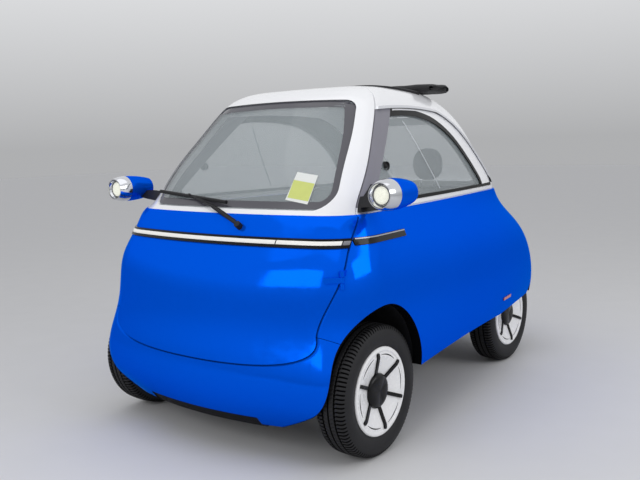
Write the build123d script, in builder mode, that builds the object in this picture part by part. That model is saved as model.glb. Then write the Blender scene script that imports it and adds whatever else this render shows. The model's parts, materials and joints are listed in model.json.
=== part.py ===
from build123d import *
import os
from math import cos, radians, sin

# Microcar with a front-opening door. Millimetres, +Z up, ground at z = 0,
# the nose faces -Y and +X is the car's left side. The origin is the centre of
# the footprint, on the ground.

# ---- running gear ----
WHEELBASE = 1566.0
FRONT_AXLE_Y = -870.0
REAR_AXLE_Y = FRONT_AXLE_Y + WHEELBASE
FRONT_WHEEL_X = 622.0  # middle of the tyre, front
REAR_WHEEL_X = 472.0  # the rear track is narrower
TYRE_RADIUS = 266.5
TYRE_WIDTH = 145.0
BEAD_RADIUS = 168.0
HUB_Z = TYRE_RADIUS
COVER_RADIUS = 178.5
COVER_FACE = 66.0  # outer face of the wheel cover, from the tyre's middle
HUBCAP_RADIUS = 58.0
DISH_DEPTH = 22.0  # how far the cover's middle lies behind its face
DISH_INNER = 64.0
DISH_OUTER = 140.0
SPOKE_COUNT = 6
SPOKE_REACH = 0.90 * COVER_RADIUS
SPOKE_WIDTH = 15.0
SPOKE_HEIGHT = 7.0
SPOKE_PHASE = 38.0  # degrees from the rearward direction
SPINDLE_RADIUS = 15.0
HUB_RADIUS = 42.0
KINGPIN_X = 600.0
KINGPIN_RADIUS = 10.0
UPRIGHT_HEIGHT = 150.0
BOSS_RADIUS = 21.0
BOSS_HEIGHT = 26.0
ARM_SPREAD = 75.0
ARM_THICKNESS = 20.0
DAMPER_X = 468.0
DAMPER_RADIUS = 24.0
RUNNING_GAP = 0.05  # radial, at pins and spindles
SEAT_GAP = 0.3  # where a piece sits in another one
FLOOR_EDGE_GAP = 0.6  # the walls lean in over the floor's edge by less

# ---- body walls ----
LOWER_WALL = 45.0  # painted panels with their liners
UPPER_WALL = 28.0  # pillars and roof
ROOF_WALL = 30.0
BELT_Z = 965.0
SHUT_GAP = 6.0  # round the door and the hatch
SEAM_GAP = 2.0  # between fixed panels
GLASS_INSET = 5.0
GLASS_THICKNESS = 5.0
WAY_OUT = 300.0  # how far cutters run past the body

# Horizontal sections of the body, from the sill up. Columns: height, y of the
# nose, y and half width of the front corner, the same of the rear corner, y of
# the tail, bulge of the flank, radius of the front and rear corners.
LOWER = [
    (125, -1165, -1060, 600, 930, 440, 1140, 40, 150, 200),
    (215, -1232, -1105, 690, 960, 490, 1200, 40, 180, 220),
    (340, -1259, -1125, 732, 1000, 532, 1255, 42, 210, 220),
    (440, -1242, -1096, 734, 1010, 545, 1259, 42, 235, 220),
    (560, -1212, -1065, 728, 1010, 540, 1240, 42, 270, 230),
    (700, -1190, -1055, 712, 980, 510, 1190, 42, 250, 260),
    (820, -1130, -1025, 684, 885, 465, 1060, 38, 220, 260),
    (900, -1075, -990, 657, 815, 435, 970, 30, 190, 250),
    (BELT_Z, -1030, -955, 632, 785, 425, 920, 20, 180, 240),
]
UPPER = [
    (BELT_Z, -1030, -955, 618, 785, 415, 900, 25, 170, 240),
    (1100, -915, -850, 575, 710, 395, 810, 25, 170, 240),
    (1250, -795, -730, 522, 600, 360, 680, 25, 170, 230),
    (1360, -700, -640, 477, 490, 330, 550, 22, 170, 210),
    (1440, -620, -565, 430, 370, 290, 410, 18, 160, 190),
    (1485, -520, -475, 370, 240, 250, 270, 12, 150, 160),
    (1501, -400, -360, 300, 120, 200, 140, 8, 110, 110),
]

# ---- front door: side view of its shut line ----
DOOR_SILL = (-1250.0, 400.0)
DOOR_SILL_BEND = (-1196.0, 420.0)
DOOR_KNEE = (-1129.0, 525.0)
DOOR_FLANK = (-1047.0, 736.0)
PILLAR_FOOT = (-889.0, 963.0)
PILLAR_HEAD = (-523.0, 1384.0)
HINGE_X = 640.0
HINGE_Y = -1050.0
HINGE_Z = 736.0
HINGE_RADIUS = 9.0
HINGE_PIN_RADIUS = 5.0
HINGE_KNUCKLE = 22.0
KNUCKLE_ROOM = 1.0  # round the moving knuckles of both hinges
HINGE_LEAF_BODY = [(645, -1050), (638, -1051), (631, -1000), (640, -1000)]
HINGE_LEAF_DOOR = [(643, -1057), (590, -1098), (588, -1084), (634, -1047)]

# ---- wheel arches and sill ----
ARCH_HALF_LENGTH = 283.0
ARCH_RISE = 351.0
FRONT_TUB_INNER = 400.0
REAR_TUB_INNER = 386.0
REAR_TUB_RADIUS = 284.0
REAR_WHEEL_ROOM = 7.0
TUB_WALL = 6.0
SILL_FRONT = (-600.0, 308.0)
SILL_MIDDLE = (-100.0, 336.0)
SILL_REAR = (378.0, 330.0)
REAR_EDGE_Z = 350.0
BUMPER_SEAM_Z = 478.0
BUMPER_BACK_Y = -1050.0
BUMPER_BOTTOM = 145.0
REAR_SPLIT_Y = 1000.0
REAR_BUMPER_TOP = 700.0
TAIL_BAR_TOP = 735.0
TAIL_BAR_HALF = 400.0

# ---- hatch ----
HATCH_HALF_WIDTH = 340.0
HATCH_BOTTOM = TAIL_BAR_TOP + SHUT_GAP
HATCH_TOP = 1372.0
HATCH_HINGE_Y = 511.0
HATCH_HINGE_Z = 1393.0
HATCH_HINGE_X = 90.0
HATCH_KNUCKLE = 18.0
HATCH_KNUCKLE_RADIUS = 8.0
HATCH_PIN_RADIUS = 4.0
HATCH_STRAP_ROOF = [(514, 1401), (455, 1431), (437, 1420), (503, 1389)]
HATCH_STRAP_LID = [(516, 1398), (572, 1347), (552, 1341), (521, 1386), (512, 1391)]

# ---- glazing outlines ----
SCREEN_FOOT_Z = 982.0
SCREEN_FOOT_HALF = 520.0
SCREEN_WAIST_Z = 1204.0
SCREEN_WAIST_HALF = 474.0
SCREEN_HEAD_Z = 1426.0
SCREEN_HEAD_HALF = 392.0
SCREEN_CROWN = 8.0
SCREEN_FOOT_RADIUS = 70.0
SCREEN_HEAD_RADIUS = 48.0
SCREEN_DEPTH = 1300.0  # how far back its cutter runs
REAR_WINDOW_BOTTOM = 1000.0
REAR_WINDOW_TOP = 1330.0
REAR_WINDOW_HALF = 285.0
ROOF_OPENING_FRONT = -330.0
ROOF_OPENING_BACK = 150.0
ROOF_OPENING_HALF = 290.0
TRIM_PROUD = 8.0
RAIL_WIDTH = 14.0
BELT_TRIM_FRONT = -630.0
BELT_TRIM_BACK = 655.0
BADGE_PROUD = 5.0

# ---- floor ----
FLOOR_Z = 200.0
FLOOR_THICKNESS = 25.0
FLOOR_HALF = 400.0
BELLY_HALF = 620.0
BELLY_Z = 375.0
FLOOR_BACK_Y = 420.0
CARGO_FLOOR_Z = 545.0

DAMPER_ROD = 11.0
DAMPER_TOP_X = 455.0
AXLE_TUBE_RADIUS = 26.0
SPINDLE_END = 36.0  # spindle's end, from the tyre's middle
LINK_X = 250.0
DRIVE_WIDTH = 320.0
DRIVE_LENGTH = 300.0
DRIVE_BOTTOM = 300.0
BATTERY_FRONT = -300.0
BATTERY_BACK = 392.0
BATTERY_HALF = 340.0
BATTERY_HEIGHT = 105.0

# ---- cabin ----
SEAT_HALF = 400.0
SEAT_FRONT = -190.0
SEAT_BACK_Y = 250.0
SEAT_TOP_Y = 345.0
SEAT_TOP_Z = 985.0
SEAT_CENTRE_X = 205.0
HEADREST_Y = 370.0
HEADREST_Z = 1115.0
HEADREST_WIDTH = 180.0
HEADREST_HEIGHT = 170.0
STEER_X = 230.0
STEER_Y = -470.0
STEER_Z = 900.0
STEER_TILT = 35.0
STEER_RADIUS = 172.0
STEER_RIM = 13.0
STEER_SHAFT = 12.0
COLUMN_LENGTH = 230.0
POST_FOOT_Y = -720.0

# ---- side pods: lamp in front, mirror behind ----
POD_X = 760.0
POD_Z = 1048.0
POD_FRONT_Y = -972.0
POD_RADIUS = 61.0
POD_LENS_RADIUS = 46.0
POD_BEZEL_LENGTH = 62.0
POD_LENGTH = 205.0
LENS_DEPTH = 4.0
MIRROR_RADIUS = 42.0
MIRROR_DEPTH = 6.0
POD_ARM_ROOT = 520.0
POD_ARM_Y = -830.0
POD_ARM_Z = 1002.0
POD_ARM_LENGTH = 120.0
POD_ARM_HEIGHT = 44.0
SAIL = [(-895, 968), (-745, 1075), (-640, 968)]

# ---- trim, roof fabric and wiper ----
BADGE_FRONT = -955.0
BADGE_BACK = -603.0
BADGE_BOTTOM = 856.0
BADGE_TOP = 884.0
BADGE_BACK_HALF = 500.0
MARKER_FRONT = 400.0
MARKER_BACK = 520.0
MARKER_BOTTOM = 400.0
MARKER_TOP = 415.0
GRILLE_INSET = 12.0
GRILLE_HALF = 310.0
GRILLE_BOTTOM = 126.0
GRILLE_TOP = 180.0
SEAL_WIDTH = 18.0
SEAL_PROUD = 2.5
FOLD_HALF = 345.0
FOLD_Y = 250.0
FOLD_Z = 1504.0
FOLD_LENGTH = 210.0
FOLD_HEIGHT = 44.0
WIPER_PIVOT = (143, -1060, 914)
WIPER_ELBOW = (-46, -1011, 978)
WIPER_TIP = (-235, -951, 1016)
WIPER_BLADE = [(-480, -914, 1032), (10, -988, 999)]
WIPER_NORMAL = (0, -0.78, 0.62)
WIPER_BOSS_RADIUS = 14.0
WIPER_STAND = 26.0
WIPER_ROOT = 8.0  # boss below its pivot, cut to the skin
HUBCAP_DOME = 8.0

# ---- front light bar ----
BAR_BOTTOM = 848.0
BAR_TOP = 882.0
BAR_PROUD = 6.0
BAR_DEPTH = 12.0
BAR_HALF = 627.0
LINER_THICKNESS = 14.0
LINER_MARGIN = 8.0
DOOR_RAIL_Y = -900.0
DOOR_RAIL_Z = 905.0
DOOR_RAIL_RADIUS = 16.0
RAIL_HALF = 470.0


def section(row, inset=0.0, drop=0.0):
    """One horizontal section of the body, drawn smaller by inset and lower by drop."""
    z, nose, front_y, front_w, rear_y, rear_w, tail, bulge, front_r, rear_r = row
    with BuildSketch(Plane.XY.offset(z - drop)) as outline:
        with BuildLine():
            ThreePointArc((-front_w, front_y), (0, nose), (front_w, front_y))
            SagittaArc((front_w, front_y), (rear_w, rear_y), -bulge)
            ThreePointArc((rear_w, rear_y), (0, tail), (-rear_w, rear_y))
            SagittaArc((-rear_w, rear_y), (-front_w, front_y), -bulge)
        make_face()
        fillet(outline.vertices().group_by(Axis.Y)[0], front_r)
        rear_corners = [v for v in outline.vertices() if abs(v.Y - rear_y) < 1]
        fillet(rear_corners, rear_r)
        if inset:
            offset(amount=-inset)
    return outline.sketch


def body_form(rows, inset=0.0, drop=0.0):
    """Closed loft through a stack of sections."""
    with BuildPart() as form:
        loft(sections=[section(row, inset, drop) for row in rows])
    return form.part


def body_skin(rows, outer, inner, outer_drop=0.0, inner_drop=0.0):
    """Layer of the body between two insets."""
    with BuildPart() as skin:
        add(body_form(rows, outer, outer_drop))
        add(body_form(rows, inner, inner_drop), mode=Mode.SUBTRACT)
    return skin.part


lower_shell = body_skin(LOWER, 0.0, LOWER_WALL)
upper_shell = body_skin(UPPER, 0.0, UPPER_WALL, 0.0, ROOF_WALL)
cabin_space = body_form(LOWER, LOWER_WALL + FLOOR_EDGE_GAP)

SPAN = 900.0 + WAY_OUT  # half length of a cutter that runs right across the car


def door_region(gap=0.0):
    """Everything ahead of the door's shut line, as a prism across the car."""
    lean_y = (PILLAR_HEAD[0] - PILLAR_FOOT[0]) / (PILLAR_HEAD[1] - PILLAR_FOOT[1])
    top_z = 1501.0 + WAY_OUT
    top_y = PILLAR_HEAD[0] + lean_y * (top_z - PILLAR_HEAD[1])
    far_y = -1259.0 - WAY_OUT
    with BuildPart() as region:
        with BuildSketch(Plane.YZ.offset(-SPAN)):
            with BuildLine():
                Line((far_y, DOOR_SILL[1]), DOOR_SILL)
                ThreePointArc(DOOR_SILL, DOOR_SILL_BEND, DOOR_KNEE)
                ThreePointArc(DOOR_KNEE, DOOR_FLANK, PILLAR_FOOT)
                Line(PILLAR_FOOT, (top_y, top_z))
                Line((top_y, top_z), (far_y, top_z))
                Line((far_y, top_z), (far_y, DOOR_SILL[1]))
            make_face()
            if gap:
                offset(amount=gap)
        extrude(amount=2 * SPAN)
    return region.part


def bumper_region(gap=0.0):
    """Nose below the door, back to the front wheel arch."""
    with BuildPart() as region:
        with BuildSketch(Plane.YZ.offset(-SPAN)):
            with BuildLine():
                Polyline(
                    (-1259.0 - WAY_OUT, 0),
                    (-1259.0 - WAY_OUT, DOOR_KNEE[1]),
                    DOOR_KNEE,
                    (BUMPER_BACK_Y, BUMPER_SEAM_Z),
                    (BUMPER_BACK_Y + 120.0, BUMPER_SEAM_Z),
                    (BUMPER_BACK_Y + 120.0, 0),
                    close=True,
                )
            make_face()
            if gap:
                offset(amount=gap)
        extrude(amount=2 * SPAN)
    return region.part


def hatch_region(gap=0.0):
    """Rear opening, seen from behind, as a prism towards the tail."""
    with BuildPart() as region:
        with BuildSketch(Plane.XZ.offset(-1259.0 - WAY_OUT)) as outline:
            with Locations((0, (HATCH_BOTTOM + HATCH_TOP) / 2)):
                Rectangle(2 * HATCH_HALF_WIDTH, HATCH_TOP - HATCH_BOTTOM)
            fillet(outline.vertices().group_by(Axis.Z)[0], 40.0)
            fillet(outline.vertices().group_by(Axis.Z)[-1], 90.0)
            if gap:
                offset(amount=gap)
        extrude(amount=1259.0 + WAY_OUT - 300.0)
    return region.part


def arch_region(grow=0.0, x_from=0.0):
    """Front wheel arches, one prism on each side."""
    with BuildPart() as region:
        for side in (1, -1):
            with BuildSketch(Plane.YZ.offset(side * x_from)):
                with Locations((FRONT_AXLE_Y, HUB_Z)):
                    Ellipse(ARCH_HALF_LENGTH + grow, ARCH_RISE + grow)
            extrude(amount=side * (SPAN - x_from))
    return region.part


def rear_tub_region(grow=0.0, x_from=0.0, x_to=SPAN):
    """Rear wheel housings, one prism on each side."""
    with BuildPart() as region:
        for side in (1, -1):
            with BuildSketch(Plane.YZ.offset(side * x_from)):
                with Locations((REAR_AXLE_Y, HUB_Z)):
                    Circle(REAR_TUB_RADIUS + grow)
            extrude(amount=side * (x_to - x_from))
    return region.part


def below_sill():
    """What lies under the sill line, behind the front wheels."""
    with BuildPart() as region:
        with BuildSketch(Plane.YZ.offset(-SPAN)):
            with BuildLine():
                ThreePointArc(SILL_FRONT, SILL_MIDDLE, SILL_REAR)
                Polyline(
                    SILL_REAR,
                    (900.0, REAR_EDGE_Z),
                    (1259.0 + WAY_OUT, REAR_EDGE_Z),
                    (1259.0 + WAY_OUT, 0),
                    (FRONT_AXLE_Y, 0),
                    (FRONT_AXLE_Y, SILL_FRONT[1]),
                    SILL_FRONT,
                )
            make_face()
        extrude(amount=2 * SPAN)
    return region.part


def block(x0, x1, y0, y1, z0, z1):
    """Axis-aligned cutter."""
    with BuildPart() as cutter:
        with Locations(((x0 + x1) / 2, (y0 + y1) / 2, (z0 + z1) / 2)):
            Box(x1 - x0, y1 - y0, z1 - z0)
    return cutter.part


def write(piece, name):
    piece.part.label = name
    export_step(piece.part, f"parts/{name}.step")


os.makedirs("parts", exist_ok=True)
door_cut = door_region(SHUT_GAP)
door_volume = door_region()
hatch_cut = hatch_region(SHUT_GAP)
hatch_volume = hatch_region()
rear_room_x = REAR_WHEEL_X + TYRE_WIDTH / 2 + REAR_WHEEL_ROOM


def door_hinge(part_of):
    """Knuckles of the door's hinge, for the body or for the door."""
    with BuildPart() as hinge:
        on_body = part_of == "body"
        rows = (-1, 1) if on_body else (0,)
        for row in rows:
            z = HINGE_Z + row * (HINGE_KNUCKLE + 2.0)
            with BuildSketch(Plane.XY.offset(z - HINGE_KNUCKLE / 2)):
                with Locations((HINGE_X, HINGE_Y)):
                    Circle(HINGE_RADIUS)
                with BuildLine():
                    Polyline(HINGE_LEAF_BODY if on_body else HINGE_LEAF_DOOR, close=True)
                make_face()
            extrude(amount=HINGE_KNUCKLE)
        if on_body:
            with Locations((HINGE_X, HINGE_Y, HINGE_Z)):
                Cylinder(HINGE_PIN_RADIUS, 2 * HINGE_KNUCKLE)
        else:
            with Locations((HINGE_X, HINGE_Y, HINGE_Z)):
                Cylinder(
                    HINGE_PIN_RADIUS + RUNNING_GAP, 4 * HINGE_KNUCKLE, mode=Mode.SUBTRACT
                )
    return hinge.part


# ---- fixed body panels ----
with BuildPart() as front_bumper:
    add(lower_shell)
    add(bumper_region(), mode=Mode.INTERSECT)
    add(door_cut, mode=Mode.SUBTRACT)
    add(arch_region(), mode=Mode.SUBTRACT)
    add(block(-SPAN, SPAN, -2000, 0, 0, BUMPER_BOTTOM), mode=Mode.SUBTRACT)
    add(block(-GRILLE_HALF - SEAT_GAP, GRILLE_HALF + SEAT_GAP, -2000, -1000,
              0, GRILLE_TOP + SEAT_GAP), mode=Mode.SUBTRACT)
write(front_bumper, "front_bumper")

for side, name in ((1, "left"), (-1, "right")):
    with BuildPart() as side_panel:
        add(lower_shell)
        add(block(0 if side > 0 else -SPAN, SPAN if side > 0 else 0, -2000, 2000, 0, 2000),
            mode=Mode.INTERSECT)
        add(door_cut, mode=Mode.SUBTRACT)
        add(bumper_region(SEAM_GAP), mode=Mode.SUBTRACT)
        add(arch_region(), mode=Mode.SUBTRACT)
        add(below_sill(), mode=Mode.SUBTRACT)
        add(hatch_cut, mode=Mode.SUBTRACT)
        add(block(-SPAN, SPAN, REAR_SPLIT_Y, 2000, 0, REAR_BUMPER_TOP + SEAM_GAP),
            mode=Mode.SUBTRACT)
        add(block(-TAIL_BAR_HALF, TAIL_BAR_HALF, REAR_SPLIT_Y, 2000, 0, TAIL_BAR_TOP + SHUT_GAP),
            mode=Mode.SUBTRACT)
        add(rear_tub_region(0.0, REAR_TUB_INNER, rear_room_x), mode=Mode.SUBTRACT)
        if side > 0:
            with Locations((HINGE_X, HINGE_Y, HINGE_Z)):
                Cylinder(HINGE_RADIUS + KNUCKLE_ROOM, HINGE_KNUCKLE + 2 * KNUCKLE_ROOM,
                         mode=Mode.SUBTRACT)
            add(door_hinge("body"))
    write(side_panel, f"side_panel_{name}")

with BuildPart() as rear_bumper:
    add(lower_shell)
    add(block(-SPAN, SPAN, REAR_SPLIT_Y + SEAM_GAP, 2000, REAR_EDGE_Z, REAR_BUMPER_TOP),
        mode=Mode.INTERSECT)
    add(rear_tub_region(0.0, REAR_TUB_INNER, rear_room_x), mode=Mode.SUBTRACT)
write(rear_bumper, "rear_bumper")


def side_opening(outline, gap=0.0):
    """Prism across the car from a side outline: foot and head of the leaning front
    edge, middle and end of the top arc, middle and end of the rear arc."""
    foot, head, top_mid, top_end, rear_mid, rear_end = outline
    with BuildPart() as opening:
        with BuildSketch(Plane.YZ.offset(-SPAN)):
            with BuildLine():
                Line(foot, head)
                ThreePointArc(head, top_mid, top_end)
                ThreePointArc(top_end, rear_mid, rear_end)
                Line(rear_end, foot)
            make_face()
            if gap:
                offset(amount=gap, kind=Kind.INTERSECTION)
        extrude(amount=2 * SPAN)
    return opening.part


SIDE_FRAME = [(-900, 990), (-560, 1378), (-230, 1393), (129, 1379), (439, 1240), (670, 990)]
SIDE_WINDOW = [(-758, 1004), (-424, 1352), (-190, 1358), (20, 1334), (300, 1202), (490, 1004)]


def screen_opening(grow=0.0):
    """Windscreen outline, seen from the front, as a prism towards the tail."""
    foot_z = SCREEN_FOOT_Z - grow
    head_z = SCREEN_HEAD_Z + grow
    with BuildPart() as opening:
        with BuildSketch(Plane.XZ.offset(WAY_OUT)) as outline:
            with BuildLine():
                foot = [(s * (SCREEN_FOOT_HALF + grow), foot_z) for s in (-1, 1)]
                head = [(s * (SCREEN_HEAD_HALF + grow), head_z) for s in (-1, 1)]
                middle = [(s * (SCREEN_WAIST_HALF + grow), SCREEN_WAIST_Z) for s in (-1, 1)]
                Line(foot[0], foot[1])
                ThreePointArc(foot[1], middle[1], head[1])
                ThreePointArc(head[1], (0, head_z + SCREEN_CROWN), head[0])
                ThreePointArc(head[0], middle[0], foot[0])
            make_face()
            fillet(outline.vertices().group_by(Axis.Z)[0], SCREEN_FOOT_RADIUS + grow)
            fillet(outline.vertices().group_by(Axis.Z)[-1], SCREEN_HEAD_RADIUS + grow)
        extrude(amount=SCREEN_DEPTH)
    return opening.part


def rear_window_opening(gap=0.0):
    with BuildPart() as opening:
        with BuildSketch(Plane.XZ.offset(-SPAN - WAY_OUT)) as outline:
            with Locations((0, (REAR_WINDOW_BOTTOM + REAR_WINDOW_TOP) / 2)):
                Rectangle(2 * REAR_WINDOW_HALF, REAR_WINDOW_TOP - REAR_WINDOW_BOTTOM)
            fillet(outline.vertices(), 48.0)
            if gap:
                offset(amount=gap)
        extrude(amount=SPAN)
    return opening.part


def roof_opening(grow=0.0):
    with BuildPart() as opening:
        with BuildSketch(Plane.XY.offset(UPPER[4][0] - 60.0)) as outline:
            with Locations((0, (ROOF_OPENING_FRONT + ROOF_OPENING_BACK) / 2)):
                Rectangle(2 * ROOF_OPENING_HALF, ROOF_OPENING_BACK - ROOF_OPENING_FRONT)
            fillet(outline.vertices(), 50.0)
            if grow:
                offset(amount=grow)
        extrude(amount=WAY_OUT)
    return opening.part


glass_layer = body_skin(
    UPPER, GLASS_INSET, GLASS_INSET + GLASS_THICKNESS, GLASS_INSET, GLASS_INSET + GLASS_THICKNESS
)
upper_proud = body_skin(UPPER, -TRIM_PROUD, -SEAT_GAP, -TRIM_PROUD, -SEAT_GAP)
lower_proud = body_skin(LOWER, -BADGE_PROUD, -SEAT_GAP)

HINGE_X_ROWS = (HATCH_HINGE_X, -HATCH_HINGE_X)


def hatch_hinge(on_body):
    """Knuckles over the top of the hatch, on the roof or on the hatch."""
    with BuildPart() as hinge:
        for middle in HINGE_X_ROWS:
            for row in (-1, 1) if on_body else (0,):
                x = middle + row * (HATCH_KNUCKLE + 1.0)
                with BuildSketch(Plane.YZ.offset(x - HATCH_KNUCKLE / 2)):
                    with Locations((HATCH_HINGE_Y, HATCH_HINGE_Z)):
                        Circle(HATCH_KNUCKLE_RADIUS)
                    with BuildLine():
                        Polyline(HATCH_STRAP_ROOF if on_body else HATCH_STRAP_LID, close=True)
                    make_face()
                extrude(amount=HATCH_KNUCKLE)
            if on_body:
                with Locations((middle, HATCH_HINGE_Y, HATCH_HINGE_Z)):
                    Cylinder(HATCH_PIN_RADIUS, 2 * HATCH_KNUCKLE, rotation=(0, 90, 0))
            else:
                with Locations((middle, HATCH_HINGE_Y, HATCH_HINGE_Z)):
                    Cylinder(
                        HATCH_PIN_RADIUS + RUNNING_GAP, 4 * HATCH_KNUCKLE, rotation=(0, 90, 0),
                        mode=Mode.SUBTRACT)
    return hinge.part


# ---- roof and side glazing ----
frame_cut = side_opening(SIDE_FRAME)
window_cut = side_opening(SIDE_WINDOW)
with BuildPart() as roof_shell:
    add(upper_shell)
    add(door_cut, mode=Mode.SUBTRACT)
    add(hatch_cut, mode=Mode.SUBTRACT)
    add(side_opening(SIDE_FRAME, SEAM_GAP / 2), mode=Mode.SUBTRACT)
    add(roof_opening(), mode=Mode.SUBTRACT)
    for middle in HINGE_X_ROWS:
        with Locations((middle, HATCH_HINGE_Y, HATCH_HINGE_Z)):
            Cylinder(HATCH_KNUCKLE_RADIUS + KNUCKLE_ROOM, HATCH_KNUCKLE + KNUCKLE_ROOM,
                     rotation=(0, 90, 0), mode=Mode.SUBTRACT)
    add(hatch_hinge(True))
write(roof_shell, "roof_shell")

with BuildPart() as side_frames:
    add(upper_shell)
    add(frame_cut, mode=Mode.INTERSECT)
    add(door_cut, mode=Mode.SUBTRACT)
    add(window_cut, mode=Mode.SUBTRACT)
write(side_frames, "side_frames")

with BuildPart() as side_glass:
    add(glass_layer)
    add(side_opening(SIDE_WINDOW, -SEAT_GAP), mode=Mode.INTERSECT)
write(side_glass, "side_glass")

with BuildPart() as drip_rails:
    add(upper_proud)
    add(side_opening(SIDE_FRAME, RAIL_WIDTH), mode=Mode.INTERSECT)
    add(side_opening(SIDE_FRAME, SEAM_GAP), mode=Mode.SUBTRACT)
    add(door_cut, mode=Mode.SUBTRACT)
    add(block(-SPAN, SPAN, -SPAN, SPAN, 0, SIDE_FRAME[0][1] + 15.0), mode=Mode.SUBTRACT)
write(drip_rails, "drip_rails")

with BuildPart() as belt_trims:
    add(upper_proud)
    add(block(-SPAN, SPAN, BELT_TRIM_FRONT, BELT_TRIM_BACK, BELT_Z + 2.0, SIDE_FRAME[0][1] - 2.0),
        mode=Mode.INTERSECT)
    add(door_cut, mode=Mode.SUBTRACT)
write(belt_trims, "belt_trims")

# ---- front door ----
with BuildPart() as bar_groove:
    add(body_skin(LOWER, -2 * BAR_PROUD, BAR_DEPTH + SEAT_GAP))
    add(block(-BAR_HALF - SEAT_GAP, BAR_HALF + SEAT_GAP, -2000, -700,
              BAR_BOTTOM - SEAT_GAP, BAR_TOP + SEAT_GAP), mode=Mode.INTERSECT)

with BuildPart() as door_panel:
    add(lower_shell)
    add(door_volume, mode=Mode.INTERSECT)
    add(bar_groove.part, mode=Mode.SUBTRACT)
    add(door_hinge("door"))
write(door_panel, "door_panel")

with BuildPart() as door_light_bar:
    add(body_skin(LOWER, -BAR_PROUD, BAR_DEPTH))
    add(block(-BAR_HALF, BAR_HALF, -2000, -700, BAR_BOTTOM, BAR_TOP), mode=Mode.INTERSECT)
    add(door_volume, mode=Mode.INTERSECT)
write(door_light_bar, "door_light_bar")

with BuildPart() as door_frame:
    add(upper_shell)
    add(door_volume, mode=Mode.INTERSECT)
    add(screen_opening(), mode=Mode.SUBTRACT)
write(door_frame, "door_frame")

with BuildPart() as windscreen:
    add(glass_layer)
    add(screen_opening(-SEAT_GAP), mode=Mode.INTERSECT)
write(windscreen, "windscreen")

with BuildPart() as door_liner:
    add(body_skin(LOWER, LOWER_WALL + SEAT_GAP, LOWER_WALL + SEAT_GAP + LINER_THICKNESS))
    add(door_region(-LINER_MARGIN), mode=Mode.INTERSECT)
    with BuildSketch(Plane.YZ.offset(-RAIL_HALF)):
        with Locations((DOOR_RAIL_Y, DOOR_RAIL_Z)):
            Circle(DOOR_RAIL_RADIUS)
    extrude(amount=2 * RAIL_HALF)
    with BuildPart(mode=Mode.PRIVATE) as rail_ends:
        with Locations((RAIL_HALF - 10, DOOR_RAIL_Y - 100, DOOR_RAIL_Z),
                       (-RAIL_HALF + 10, DOOR_RAIL_Y - 100, DOOR_RAIL_Z)):
            Box(20, 200, 1.6 * DOOR_RAIL_RADIUS)
        add(cabin_space, mode=Mode.INTERSECT)
    add(rail_ends.part)
write(door_liner, "door_liner")

# ---- hatch ----
with BuildPart() as hatch_panel:
    add(lower_shell)
    add(hatch_volume, mode=Mode.INTERSECT)
write(hatch_panel, "hatch_panel")

with BuildPart() as hatch_frame:
    add(upper_shell)
    add(hatch_volume, mode=Mode.INTERSECT)
    add(rear_window_opening(), mode=Mode.SUBTRACT)
    add(hatch_hinge(False))
write(hatch_frame, "hatch_frame")

with BuildPart() as rear_window:
    add(glass_layer)
    add(rear_window_opening(-SEAT_GAP), mode=Mode.INTERSECT)
write(rear_window, "rear_window")

with BuildPart() as tail_light_bar:
    add(lower_shell)
    add(block(SEAT_GAP - TAIL_BAR_HALF, TAIL_BAR_HALF - SEAT_GAP, REAR_SPLIT_Y + SEAM_GAP, 2000,
              REAR_BUMPER_TOP + SEAM_GAP, TAIL_BAR_TOP), mode=Mode.INTERSECT)
write(tail_light_bar, "tail_light_bar")


# ---- small pieces on the body ----
with BuildPart() as side_badges:
    add(lower_proud)
    add(block(-SPAN, SPAN, BADGE_FRONT, BADGE_BACK, BADGE_BOTTOM, BADGE_TOP), mode=Mode.INTERSECT)
    add(block(-BADGE_BACK_HALF, BADGE_BACK_HALF, -SPAN, SPAN, 0, SPAN), mode=Mode.SUBTRACT)
    add(door_cut, mode=Mode.SUBTRACT)
write(side_badges, "side_badges")

with BuildPart() as side_markers:
    add(lower_proud)
    add(block(-SPAN, SPAN, MARKER_FRONT, MARKER_BACK, MARKER_BOTTOM, MARKER_TOP),
        mode=Mode.INTERSECT)
write(side_markers, "side_markers")

with BuildPart() as front_grille:
    add(body_skin(LOWER, GRILLE_INSET, LOWER_WALL))
    add(block(-GRILLE_HALF, GRILLE_HALF, -2000, -1000, GRILLE_BOTTOM, GRILLE_TOP),
        mode=Mode.INTERSECT)
write(front_grille, "front_grille")


def pod_revolve(points_and_arcs, side):
    """Revolves a closed outline given as (radius, distance behind the lens)."""
    with BuildPart() as body:
        with BuildSketch(Plane(origin=(side * POD_X, POD_FRONT_Y, POD_Z),
                               x_dir=(1, 0, 0), z_dir=(0, 0, 1))):
            with BuildLine():
                points_and_arcs()
            make_face()
        revolve(axis=Axis((side * POD_X, POD_FRONT_Y, POD_Z), (0, 1, 0)))
    return body.part


def bezel_outline():
    Line((POD_LENS_RADIUS, 0), (POD_LENS_RADIUS + 3, 0))
    ThreePointArc((POD_LENS_RADIUS + 3, 0), (POD_RADIUS - 3, POD_BEZEL_LENGTH * 0.45),
                  (POD_RADIUS, POD_BEZEL_LENGTH))
    Polyline((POD_RADIUS, POD_BEZEL_LENGTH), (POD_LENS_RADIUS, POD_BEZEL_LENGTH),
             (POD_LENS_RADIUS, 0))


def housing_outline():
    front = POD_BEZEL_LENGTH + SEAT_GAP
    Polyline((0, POD_LENGTH - MIRROR_DEPTH), (0, front), (POD_RADIUS, front))
    ThreePointArc((POD_RADIUS, front), (POD_RADIUS - 2, (front + POD_LENGTH) * 0.5 - 10),
                  (MIRROR_RADIUS + 4, POD_LENGTH))
    Polyline((MIRROR_RADIUS + 4, POD_LENGTH), (MIRROR_RADIUS + SEAT_GAP, POD_LENGTH),
             (MIRROR_RADIUS + SEAT_GAP, POD_LENGTH - MIRROR_DEPTH),
             (0, POD_LENGTH - MIRROR_DEPTH))


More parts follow.
